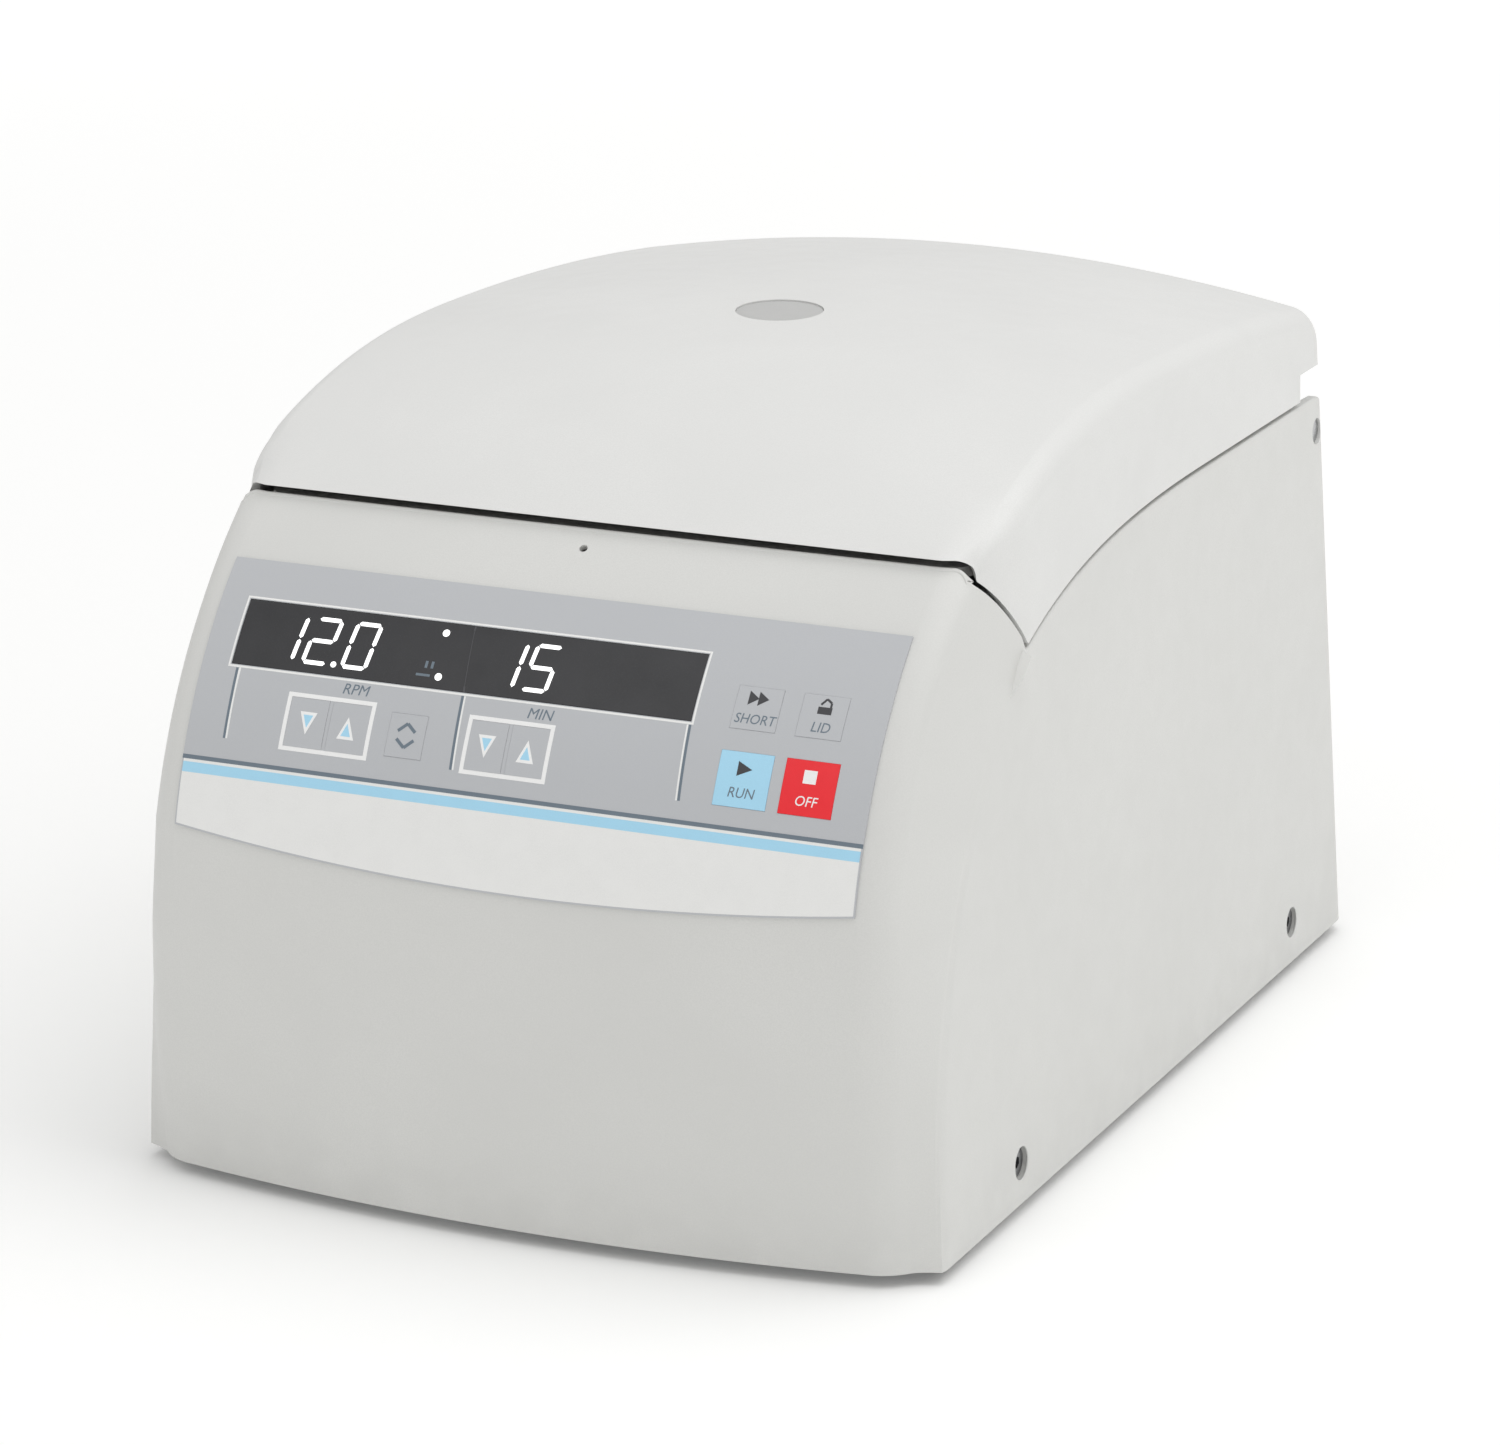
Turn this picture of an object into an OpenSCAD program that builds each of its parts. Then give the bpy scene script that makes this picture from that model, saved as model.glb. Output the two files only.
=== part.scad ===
/* [Body] */
// Room at each side between the rotor bowl and the outside of the base
side_room = 26; // [24:0.5:34]
// Height of the feet, which is where the casing starts
foot_h = 4; // [3:0.5:8]
// Lean of each side wall towards the top, in degrees
side_draft = 2; // [0.5:0.25:3]
// Wall thickness of the moulded casing and lid
wall = 3; // [2:0.25:4]
// Room between the rotor bowl and the rear face at its lower edge
rear_room = 75.2; // [72:0.2:90]
// Room between the rotor bowl and the foremost point of the control face
front_room = 88; // [86:0.5:96]
// Lean of the rear face, in millimetres of depth per millimetre of height
rear_lean = 0.093; // [0:0.001:0.15]
// Radius of the rear vertical corners
rear_corner_r = 9; // [6:0.5:14]

/* [Front] */
// Radius of the single curved control face, seen from the side
face_r = 131; // [120:1:150]
// Height of the control face's centre of curvature
face_cz = 75; // [68:1:80]
// Height of the casing's front edge as a share of the control face's radius, above its centre
front_share = 0.8244; // [0.8:0.0001:0.85]
// Inset of the flat part of the front from the side at the base
face_inset = 20; // [17:0.5:25]
// Height of the crease below the control panel over the centre of curvature, at the middle
crease_up = 22.5; // [17:0.5:27]
// Rise of that crease from the middle to the sides
crease_rise = 6.8; // [0:0.2:10]
// How far the lower front tucks under at the base
front_tuck = 4.7; // [2:0.1:8]
// Swell of the lower front between crease and base
front_belly = 2; // [0:0.1:4]
// Bulge of the lower front in plan, at the base
front_bulge = 7.65; // [2:0.05:12]
// How far the sharp front corner would stand outside the flat front
corner_out = 7.5; // [4:0.5:9]
// Depth of the side crease behind the control face, at the base
seam_inset = 18; // [13:0.5:25]
// Run of the side crease from the base back to the lid's low point
seam_run = 69; // [60:1:75]

/* [Lid] */
// Gap between casing and lid at the front
front_gap = 3; // [1.5:0.25:4]
// Gap between casing and lid at the sides
side_gap = 1.2; // [0.8:0.1:2]
// Drop of the lid's low points below the casing's front edge
tip_drop = 25; // [21:0.5:29]
// Drop of the casing's side edge below its front edge
side_drop = 6.5; // [4:0.5:9]
// Rise of the lid's highest point over the casing's front edge
lid_rise = 39; // [32:0.5:45]
// Depth of the highest point behind the rotor axis
lid_top_back = 22; // [0:1:50]
// Drop of the lid from its highest point to its rear edge, at the middle
lid_rear_drop = 7; // [2:0.5:12]
// Fall of the lid from its middle line to 100 mm out
lid_crown = 10; // [4:0.25:14]
// Radius of the lid's long edges
lid_edge_r = 15; // [8:0.5:20]
// Overhang of the lid behind its hinge axis
lid_tail = 1.3; // [0.5:0.1:4]
// Diameter of the viewing port
port_d = 25.6; // [16:0.4:40]

/* [Hinge] */
// Depth of the hinge axis in front of the rear face's lower edge
hinge_inset = 26; // [24:0.2:30]
// Radius of the roll over the hinge
roll_r = 11; // [9.5:0.25:12]
// Radius of the hinge pins
hinge_pin_r = 4; // [3:0.25:5]
// Inset of each hinge arm from the side at the base
arm_inset = 41; // [33:1:60]
// Width of each hinge arm
arm_w = 12; // [8:1:18]

/* [Rotor] */
// Depth position of the rotor axis
axis_y = 8; // [4:0.5:12]
// Number of tube places
tube_count = 24; // [12:2:24]
// Diameter of each tube bore
tube_d = 11; // [9:0.1:12]
// Lean of the tube bores from the rotor axis, in degrees
tube_angle = 45; // [40:1:50]
// Inset of the circle on which the bores open from the rotor's rim
tube_inset = 32; // [28:0.5:34]
// Outer radius of the rotor
rotor_r = 86; // [80:0.5:90]
// Depth of the rotor's lower face below the deck
rotor_drop = 66; // [62:0.5:68]
// Height of the rotor body
rotor_h = 45; // [42:0.5:48]
// Radius of the motor shaft
shaft_r = 6; // [4:0.25:8]
// Running clearance of shafts and pins, on the radius
run_fit = 0.05; // [0.02:0.01:0.09]

/* [Chamber] */
// Gap between rotor and bowl
bowl_gap = 9; // [7:0.5:12]
// Sheet thickness of the bowl
bowl_t = 1.2; // [0.8:0.1:2]
// Gap between the rotor and the bowl's floor
floor_gap = 6; // [4:0.5:10]
// Thickness of the deck that carries the bowl
deck_t = 4; // [3:0.5:6]
// Height of the rubber seal above the bowl's rim
seal_h = 3.4; // [2:0.2:4]

/* [Controls] */
// Thickness of the printed front overlay
overlay_t = 0.6; // [0.3:0.1:1]
// Travel of each key
key_travel = 0.5; // [0.3:0.1:0.8]
// Gap round each key
key_gap = 0.2; // [0.15:0.05:0.5]
// How far the keys stand above the overlay
key_proud = 0.1; // [0.1:0.05:0.5]

/* [Base] */
// Diameter of each foot
foot_d = 24; // [16:1:30]
// Sheet thickness of the base pan
pan_t = 2; // [1:0.25:3]
// Outer radius of the motor's casing
motor_r = 46; // [38:1:52]
// Height of the motor's lower end
motor_low_z = 22; // [20:1:36]
/* [Hidden] */
$fn = 64;

shell_color = [0.86, 0.86, 0.84];
bowl_r = rotor_r + bowl_gap;
half_w = bowl_r + side_room;
rear_y = axis_y + bowl_r + rear_room;
front_y = axis_y - bowl_r - front_room;
face_cy = front_y + face_r;
face_half_w = half_w - face_inset;
crease_z = face_cz + crease_up;
front_top_z = face_cz + face_r * front_share;
tip_z = front_top_z - tip_drop;
side_top_z = front_top_z - side_drop;
lid_top_z = front_top_z + lid_rise;
lid_rear_z = lid_top_z - lid_rear_drop;
lid_top_y = axis_y + lid_top_back;
hinge_y = rear_y - hinge_inset;
hinge_z = side_top_z - roll_r;
lid_rear_y = hinge_y + lid_tail;
arm_x = half_w - arm_inset;
tube_mouth_r = rotor_r - tube_inset;
casing_z = foot_h;
seam_y0 = front_y + seam_inset;
seam_power = 3.1;
seam_end_y = seam_y0 + seam_run;
front_edge_y = face_cy - sqrt(face_r * face_r - (front_top_z + 1.5 - face_cz) * (front_top_z + 1.5 - face_cz));
lid_front_z = front_top_z + front_gap;
lid_lip_z = lid_front_z + 1.6;
deck_top_z = side_top_z - 0.5;
rotor_z = deck_top_z - rotor_drop;
bowl_floor_z = rotor_z - floor_gap;
liner_z = deck_top_z + bowl_t + seal_h + 0.3;
liner_t = 3;
roll_inner_r = roll_r - 2;

edge_run_y = axis_y + 40;
function mix(a, b, t) = a * (1 - t) + b * t;
function clamp01(t) = min(max(t, 0), 1);
function side_x(z) = half_w - (z - casing_z) * tan(side_draft);
function seam_y(z) = seam_y0 + seam_run * pow(min(z, tip_z) / tip_z, seam_power);
function rear_at(z) = rear_y - rear_lean * (z - casing_z);
function face_y(z) = face_cy - sqrt(face_r * face_r - (z - face_cz) * (z - face_cz));
function crease_at(x) = crease_z + crease_rise * pow(x / face_half_w, 2);
// Front face: a single curved control face above the crease, a swelling tucked face below it
function front_at(x, z) =
    let (c = crease_at(x), t = (c - z) / (c - casing_z))
    z >= c ? face_y(z)
        : face_y(c) + front_tuck * pow(t, 2.4) - front_belly * sin(180 * t)
            - front_bulge * (1 - pow(x / face_half_w, 2)) * t;

// Left branch of the lid's V, as a depth for each height, and the right branch as a height for each depth
function branch_y(z) =
    mix(seam_end_y, front_edge_y, pow(clamp01((z - tip_z) / (lid_front_z - 1.5 - tip_z)), 1.15));
function right_branch_z(y) =
    let (s = clamp01((edge_run_y - y) / (edge_run_y - seam_end_y)))
    side_top_z - (side_top_z - tip_z) * s * s * (0.5 + 0.5 * s * s);
function side_edge_z(y) =
    y < hinge_y ? right_branch_z(y)
        : hinge_z + sqrt(max(roll_r * roll_r - (y - hinge_y) * (y - hinge_y), 0));

// The pillar between the front corner and the side crease
function corner_pt(z) = [face_half_w + corner_out, front_at(face_half_w, z) + 0.7];
function seam_pt(z) = [side_x(z), seam_y(z)];
function pillar_swell(z) = mix(-1.8, 1.2, clamp01((z - casing_z) / 70));
function pillar_pt(v, z) =
    let (c = corner_pt(z), k = seam_pt(z), d = (k - c) / norm(k - c))
    mix(c, k, v) + [d[1], -d[0]] * pillar_swell(z) * 4 * v * (1 - v);
function pillar_start(z) = 7 / norm(seam_pt(z) - corner_pt(z));
function bezier(a, b, c, t) = a * (1 - t) * (1 - t) + b * 2 * t * (1 - t) + c * t * t;
function corner_curve(t, z) =
    bezier([face_half_w, front_at(face_half_w, z)], corner_pt(z), pillar_pt(pillar_start(z), z), t);

// Height at which a pillar line meets the lid's V
function pillar_top(c, lo, hi, n = 16) =
    let (m = (lo + hi) / 2, y = column_pt(c, m)[1])
    n == 0 ? m : y < branch_y(m) ? pillar_top(c, m, hi, n - 1) : pillar_top(c, lo, m, n - 1);
// Height at which a side line meets the casing's side edge
function side_pt_y(u, z) = mix(seam_y(z), rear_at(z) - rear_corner_r, u);
function side_line_top(u, z, n = 8) = n == 0 ? z : side_line_top(u, side_edge_z(side_pt_y(u, z)), n - 1);

// Casing section: each column is [kind, parameter], listed from the front middle to the rear middle
front_cols = 7;
corner_cols = 5;
pillar_cols = 5;
side_cols = 13;
rear_cols = 3;
columns = concat(
    [for (i = [0:front_cols - 1]) [0, i / front_cols]],
    [for (i = [0:corner_cols - 1]) [1, i / corner_cols]],
    [for (i = [0:pillar_cols - 1]) [2, i / pillar_cols]],
    [for (i = [0:side_cols - 1]) [3, i / side_cols]],
    [for (i = [0:3]) [4, i / 4]],
    [for (i = [0:rear_cols]) [5, i / rear_cols]]);

function column_top(c) =
    c[0] == 0 ? front_top_z
        : c[0] == 1 || c[0] == 2 ? pillar_top(c, tip_z, front_top_z)
        : c[0] == 3 ? side_line_top(c[1], 170)
        : c[0] == 4 ? side_edge_z(rear_at(hinge_z) - rear_corner_r * (1 - sin(90 * c[1])))
        : hinge_z;
function column_pt(c, z) =
    let (r = rear_corner_r, x = side_x(z), y = rear_at(z))
    c[0] == 0 ? [face_half_w * c[1], front_at(face_half_w * c[1], z)]
        : c[0] == 1 ? corner_curve(c[1], z)
        : c[0] == 2 ? pillar_pt(mix(pillar_start(z), 1, c[1]), z)
        : c[0] == 3 ? [x, side_pt_y(c[1], z)]
        : c[0] == 4 ? [x - r + r * cos(90 * c[1]), y - r + r * sin(90 * c[1])]
        : [(x - r) * (1 - c[1]), y];

// Levels crowd towards the top, where the front curves over
level_count = 20;
function level_z(c, k) = mix(casing_z, column_top(c), sin(90 * pow(k / level_count, 0.9)));
function mirror_x(p) = [-p[0], p[1], p[2]];
function half_ring(k) = [for (c = columns) let (z = level_z(c, k), p = column_pt(c, z)) [p[0], p[1], z]];
function full_ring(half) =
    let (n = len(half)) concat(half, [for (i = [n - 2:-1:1]) mirror_x(half[i])]);
// Moves a ring inwards by d along its own outline
function inset_ring(ring, d) =
    let (n = len(ring))
    [for (i = [0:n - 1])
        let (a = ring[(i + n - 1) % n], b = ring[(i + 1) % n],
            t = [b[0] - a[0], b[1] - a[1]], u = t / norm(t))
        [ring[i][0] - u[1] * d, ring[i][1] + u[0] * d, ring[i][2]]];

// A closed wall between an outer and an inner stack of rings, both of them running round
module ring_wall(outer, inner) {
    n = len(outer[0]);
    a = len(outer);
    b = len(inner);
    pts = concat([for (r = outer) each r], [for (r = inner) each r]);
    faces = concat(
        [for (k = [0:a - 2], i = [0:n - 1])
            let (j = (i + 1) % n) each quad(k * n + i, (k + 1) * n + i, (k + 1) * n + j, k * n + j)],
        [for (k = [0:b - 2], i = [0:n - 1])
            let (j = (i + 1) % n, o = a * n)
            each quad(o + k * n + i, o + k * n + j, o + (k + 1) * n + j, o + (k + 1) * n + i)],
        [for (i = [0:n - 1])
            let (j = (i + 1) % n, o = a * n) each quad(i, j, o + j, o + i)],
        [for (i = [0:n - 1])
            let (j = (i + 1) % n, t = (a - 1) * n, o = a * n + (b - 1) * n)
            each quad(t + i, o + i, o + j, t + j)]);
    polyhedron(points = pts, faces = faces);
}
function quad(a, b, c, d) = [[a, b, c], [a, c, d]];

// A closed shell between an outer and an inner sheet of points with the same rows and columns
module sheet_shell(outer, inner) {
    n = len(outer[0]);
    m = len(outer);
    o = n * m;
    pts = concat([for (r = outer) each r], [for (r = inner) each r]);
    faces = concat(
        [for (k = [0:m - 2], i = [0:n - 2])
            each quad(k * n + i, k * n + i + 1, (k + 1) * n + i + 1, (k + 1) * n + i)],
        [for (k = [0:m - 2], i = [0:n - 2])
            each quad(o + k * n + i, o + (k + 1) * n + i, o + (k + 1) * n + i + 1, o + k * n + i + 1)],
        [for (i = [0:n - 2]) each quad(i, o + i, o + i + 1, i + 1)],
        [for (i = [0:n - 2])
            let (t = (m - 1) * n) each quad(t + i, t + i + 1, o + t + i + 1, o + t + i)],
        [for (k = [0:m - 2]) each quad(k * n, (k + 1) * n, o + (k + 1) * n, o + k * n)],
        [for (k = [0:m - 2])
            let (e = n - 1) each quad(k * n + e, o + k * n + e, o + (k + 1) * n + e, (k + 1) * n + e)]);
    polyhedron(points = pts, faces = faces);
}

// Lid section functions; d is the depth below the outer surface
lid_flat_end = lid_rear_y - 7.5;
lid_notch_y = hinge_y - 15.2;
lid_tail_z = lid_front_z;
crown_end = 78;
function lid_mid_z(y) =
    y < lid_top_y
        ? lid_top_z - (lid_top_z - lid_lip_z) * pow((lid_top_y - y) / (lid_top_y - front_edge_y), 2.2)
        : lid_top_z - (lid_top_z - lid_rear_z) * pow((y - lid_top_y) / (lid_flat_end - lid_top_y), 2);
function lid_crown_at(y) = lid_crown * (1 - exp(-(y - front_edge_y) / 35));
function front_fade(y) = clamp01(1 - (y - front_edge_y) / 30);
function branch_z(y) =
    tip_z + (lid_front_z - 1.5 - tip_z) * pow(clamp01((seam_end_y - y) / (seam_end_y - front_edge_y)), 1 / 1.15);
function lid_low_z(y) =
    y > lid_notch_y ? lid_tail_z
        : min(lid_front_z, side_gap + (y < seam_end_y ? branch_z(y) : right_branch_z(y)));
function lid_side_x(y, z) =
    let (c = corner_pt(min(z, front_top_z)), v = clamp01((y - c[1]) / (seam_end_y - c[1])))
    mix(c[0], side_x(z), v) + 1.2 * 4 * v * (1 - v);
function lid_y(y, x) = y + 5 * pow(clamp01((abs(x) - face_half_w) / corner_out), 2) * front_fade(y);

function lid_half(y, f, d) =
    let (yy = y + d * (1.4 * clamp01(1 - (y - front_edge_y) / 20) - clamp01(1 - (lid_rear_y - y) / 13.5)),
        low = lid_low_z(lid_y(y, half_w)), mid = lid_mid_z(min(yy, lid_flat_end)) - d,
        crown = lid_crown_at(yy),
        r = max(min(lid_edge_r - d, 2 + 0.3 * (yy - front_edge_y), 0.6 * (mid - crown - low)), 0.8),
        xt = lid_side_x(yy, mid - crown - r) - d, xl = lid_side_x(yy, low) - d,
        xe = xt - r + r * cos(crown_end), ze = mid - crown * xe * xe / 10000,
        zc = max(ze - r * sin(crown_end), low + 0.6), tail = lid_tail_z)
    [for (p = concat(
            [for (i = [0:2]) [mix(xl, xt, i / 3), mix(low, zc, i / 3)]],
            [for (i = [0:4]) let (a = crown_end * i / 4) [xt - r + r * cos(a), zc + r * sin(a)]],
            [for (i = [1:7]) let (x = xe * (1 - i / 7)) [x, mid - crown * x * x / 10000]]))
        [p[0], lid_y(yy, p[0]), mix(tail, max(p[1], low), f)]];
function lid_row(y, f, d) =
    let (h = lid_half(y, f, d), n = len(h)) concat(h, [for (i = [n - 2:-1:0]) mirror_x(h[i])]);
lid_front_rows = [for (i = [0:9]) [mix(front_edge_y, seam_end_y, pow(i / 9, 1.2)), 1]];
lid_mid_rows = [for (i = [1:14]) [mix(seam_end_y, lid_notch_y, i / 14), 1]];
lid_tail_rows = [[lid_notch_y + 0.3, 1], [lid_flat_end, 1], [mix(lid_flat_end, lid_rear_y, 0.5), 0.94],
    [mix(lid_flat_end, lid_rear_y, 0.88), 0.75], [mix(lid_flat_end, lid_rear_y, 0.97), 0.4], [lid_rear_y, 0.06]];
lid_rows = concat(lid_front_rows, lid_mid_rows, lid_tail_rows);

// Control panel places: x from the middle, and arc length up the face from its centre's height
overlay_half_w = face_half_w;
function arc_of(z) = face_r * asin((z - face_cz) / face_r) * PI / 180;
face_arc = arc_of(front_top_z);
overlay_high_arc = face_arc * 0.8478;
display_x = [face_half_w * -0.911, face_half_w * 0.4574];
display_arc = [face_arc * 0.598, face_arc * 0.7493];
arrow_y = face_arc * 0.4885;
arrow_h = 13.6;
icon_y = face_arc * 0.6421;
u = face_half_w / 100;
// Each key: [x, arc, width, height]
key_places = [[u * -64.75, arrow_y, 11.6, arrow_h], [u * -52.08, arrow_y, 11.6, arrow_h],
    [u * -34.65, arrow_y, 11, 12], [u * -10.8, arrow_y, 11, arrow_h], [u * 1.3, arrow_y, 11, arrow_h],
    [u * 63.3, icon_y, 13, 12], [u * 81.9, icon_y, 13, 12],
    [u * 63.8, arrow_y, 15.2, 14.8], [u * 82.4, arrow_y, 15.2, 14.8]];
carrier_x = face_half_w - 6;
carrier_arc = [arrow_y - 10, display_arc[1] + 4.9];
carrier_t = 3;
display_glass_t = 1.4;

module face_ring(r1, r2, x1, x2) {
    translate([x1, face_cy, face_cz]) rotate([0, 90, 0]) difference() {
        cylinder(r = r2, h = x2 - x1);
        translate([0, 0, -1]) cylinder(r = r1, h = x2 - x1 + 2);
    }
}
// A wedge that holds the arc lengths a1 to a2 of the face
module face_wedge(a1, a2, x1, x2, reach = 170) {
    t1 = a1 / face_r * 180 / PI;
    t2 = a2 / face_r * 180 / PI;
    translate([x1, face_cy, face_cz]) rotate([90, 0, 90]) linear_extrude(height = x2 - x1)
        polygon([[0, 0], [-reach * cos(t1), reach * sin(t1)], [-reach * cos(t2), reach * sin(t2)]]);
}
module face_patch(r1, r2, x1, x2, a1, a2) {
    intersection() {
        face_ring(r1, r2, x1, x2);
        face_wedge(a1, a2, x1 - 1, x2 + 1);
    }
}
module key_patch(k, r1, r2, grow = 0) {
    p = key_places[k];
    w = p[2] / 2 + grow;
    h = p[3] / 2 + grow;
    face_patch(r1, r2, p[0] - w, p[0] + w, p[1] - h, p[1] + h);
}
module mirrored() {
    children();
    mirror([1, 0, 0]) children();
}
module box(lo, hi) {
    translate(lo) cube(hi - lo);
}
module rod_x(x1, x2, y, z, r) {
    translate([x1, y, z]) rotate([0, 90, 0]) cylinder(r = r, h = x2 - x1);
}

screw_places = [[seam_y0 + 56.8, 15.5], [rear_y - 52.4, 16.6]];
screw_r = 5;
screw_head_r = 4.2;
screw_shank_r = 2;
rear_panel_x = half_w - 37;
rear_panel_z = [28, 98];
release_x = -1.1;

module housing() {
    outer = [for (k = [0:level_count]) full_ring(half_ring(k))];
    inner = [for (k = [0:2:level_count])
        [for (p = inset_ring(full_ring(half_ring(k)), wall)) [p[0], p[1], under_lid(p)]]];
    color(shell_color) difference() {
        ring_wall(outer, inner);
        face_wedge(carrier_arc[0], carrier_arc[1], -carrier_x, carrier_x);
        box([-rear_panel_x, rear_y - 30, rear_panel_z[0]], [rear_panel_x, rear_y + 5, rear_panel_z[1]]);
        for (s = screw_places) rod_x(-half_w - 5, half_w + 5, s[0], s[1], screw_r);
        translate([release_x, 0, 0]) on_face(arc_of(front_top_z - 1.8), face_r - 8) cylinder(d = 2.4, h = 12);
        rod_x(-half_w - 5, half_w + 5, hinge_y, hinge_z, hinge_pin_r + run_fit);
    }
}

slot_w = arm_w + 2;
module arm_slots(y1, y2, z1, z2) {
    mirrored() box([arm_x - slot_w / 2, y1, z1], [arm_x + slot_w / 2, y2, z2]);
}

deck_hole_r = bowl_r + bowl_t + 1.2;
rim_r = bowl_r + 9;
deck_half_w = side_x(deck_top_z) - wall - 2.4;
deck_y = [front_edge_y - 3.1, hinge_y - 11.2];
deck_side_y = seam_end_y - 10;
skirt_t = 2.5;
skirt_z = tip_z - 8;
lock_y = axis_y - bowl_r - 18.5;
lock_slot = [12, 13];
module chamber_deck() {
    color(shell_color) difference() {
        union() {
            translate([0, 0, deck_top_z - deck_t]) linear_extrude(height = deck_t) polygon([
                [-deck_half_w, deck_side_y], [-deck_half_w, deck_y[1]], [deck_half_w, deck_y[1]],
                [deck_half_w, deck_side_y], [deck_half_w - 9, deck_y[0]], [9 - deck_half_w, deck_y[0]]]);
            mirrored() box([deck_half_w - skirt_t, deck_side_y, skirt_z], [deck_half_w, deck_y[1], deck_top_z - 1]);
            translate([0, axis_y, deck_top_z - 14]) cylinder(r = deck_hole_r + 3, h = 13);
        }
        translate([0, axis_y, deck_top_z - 40]) cylinder(r = deck_hole_r, h = 60);
        box([-lock_slot[0] / 2, lock_y - lock_slot[1] / 2, bolt_z - 30],
            [lock_slot[0] / 2, lock_y + lock_slot[1] / 2, deck_top_z + 5]);
        arm_slots(hinge_y - 28.2, hinge_y + 8, hinge_z - 25, hinge_z + 35);
    }
}

module hinge_cover() {
    w = side_x(hinge_z) - rear_corner_r - 0.3;
    color(shell_color) difference() {
        rod_x(-w, w, hinge_y, hinge_z, roll_r);
        rod_x(-w - 1, w + 1, hinge_y, hinge_z, roll_inner_r);
        box([-w - 1, hinge_y - 30, hinge_z - 30], [w + 1, hinge_y + 30, hinge_z]);
        box([-w - 1, hinge_y - 30, hinge_z - 1], [w + 1, hinge_y - 9.5, hinge_z + 8]);
        arm_slots(hinge_y - 30, hinge_y + 30, hinge_z - 5, hinge_z + 30);
    }
}

// The rim's inner edge keeps under the lid's V, like its outer edge
function under_lid(p) = p[1] < seam_end_y ? min(p[2], branch_z(p[1])) : p[2];

pan_h = 18;
pan_gap = 0.4;
pan_side = side_x(casing_z + pan_h) - wall - pan_gap;
// The pan follows the casing's inside, where the casing is narrowest over the pan's height
pan_half = [for (c = columns) let (p = column_pt(c, c[0] <= 2 ? casing_z : casing_z + pan_h))
    [min(p[0], side_x(casing_z + pan_h)), p[1], 0]];
function thinned(p, gap, i = 1, kept = [0]) =
    i >= len(p)
        ? [for (k = kept) p[k]]
        : thinned(p, gap, i + 1, norm(p[i] - p[kept[len(kept) - 1]]) > gap ? concat(kept, [i]) : kept);
module pan_plan(d) {
    polygon([for (p = inset_ring(full_ring(thinned(pan_half, 7)), wall + pan_gap + d)) [p[0], p[1]]]);
}
vent_count = 9;
module base_pan() {
    color("silver") difference() {
        translate([0, 0, casing_z]) linear_extrude(height = pan_h) pan_plan(0);
        translate([0, 0, casing_z + pan_t]) linear_extrude(height = pan_h) pan_plan(pan_t);
        for (s = screw_places) rod_x(-half_w, half_w, s[0], s[1], screw_shank_r);
        for (i = [0:vent_count - 1], s = [-1, 1])
            translate([s * half_w * 0.413, seam_y0 + 57 + i * 9, 0]) cube([44, 4, 30], center = true);
    }
}

foot_places = [for (x = [-1, 1], y = [seam_y0 + 25, rear_y - 28.2]) [x * (half_w - 29), y]];
module feet() {
    color("dimgray") for (p = foot_places) translate([p[0], p[1], 0]) difference() {
        cylinder(d1 = foot_d - 3, d2 = foot_d, h = foot_h);
        translate([0, 0, -1]) cylinder(d = 5, h = 2.6);
    }
}

panel_t = 2;
inlet_x = 32 - rear_panel_x;
inlet_z = 44;
switch_x = inlet_x + 54;
rear_tilt = atan(rear_lean);
// Places a flat piece on the rear face, with its own x and y lying in that face
module on_rear(x, z, depth = 0) {
    translate([x, rear_at(z) - depth, z]) rotate([90 - rear_tilt, 0, 180]) children();
}
module rear_panel() {
    c = (rear_panel_z[0] + rear_panel_z[1]) / 2;
    h = rear_panel_z[1] - rear_panel_z[0];
    m = 5;
    color("gainsboro") difference() {
        on_rear(0, c, wall) translate([-rear_panel_x - m, -h / 2 - m, -panel_t])
            cube([2 * (rear_panel_x + m), h + 2 * m, panel_t]);
        on_rear(inlet_x, inlet_z, wall) translate([-14, -10.2, -20]) cube([28, 20.4, 40]);
        on_rear(switch_x, inlet_z, wall) translate([-10.2, -13.2, -20]) cube([20.4, 26.4, 40]);
        for (i = [0:9]) on_rear(rear_panel_x - 24, 36 + i * 6, wall) translate([-17, -1.6, -20]) cube([34, 3.2, 40]);
        for (i = [0:3]) on_rear(inlet_x + 26, 70 + i * 6, wall) translate([-46, -1.6, -20]) cube([92, 3.2, 40]);
    }
}
// Appliance inlet: a shroud with three blades, its two lower corners cut
module mains_inlet() {
    color("black") on_rear(inlet_x, inlet_z, wall) {
        difference() {
            union() {
                translate([-13.8, -10, -18]) cube([27.6, 20, 18]);
                translate([-25, -12, 0]) cube([50, 24, 2.5]);
            }
            translate([0, 0, -15]) linear_extrude(height = 30)
                polygon([[-12, 7.5], [12, 7.5], [12, -3], [7.5, -7.5], [-7.5, -7.5], [-12, -3]]);
            for (s = [-1, 1]) translate([s * 20, 0, -1]) cylinder(d = 3.4, h = 5);
        }
        for (p = [[0, 2.5], [-6.5, -2], [6.5, -2]]) translate([p[0] - 1, p[1] - 2, -15.5]) cube([2, 4, 12]);
    }
}
rocker_pin_r = 1.5;
module power_switch_frame() {
    color("black") on_rear(switch_x, inlet_z, wall) difference() {
        union() {
            translate([-10, -13, -16]) cube([20, 26, 16]);
            translate([-12, -15, 0]) cube([24, 30, 2]);
        }
        translate([-7.4, -11.4, -12]) cube([14.8, 22.8, 20]);
        translate([-9, 0, -3]) rotate([0, 90, 0]) cylinder(r = rocker_pin_r + run_fit, h = 18);
    }
}
rocker_tilt = 8;
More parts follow.
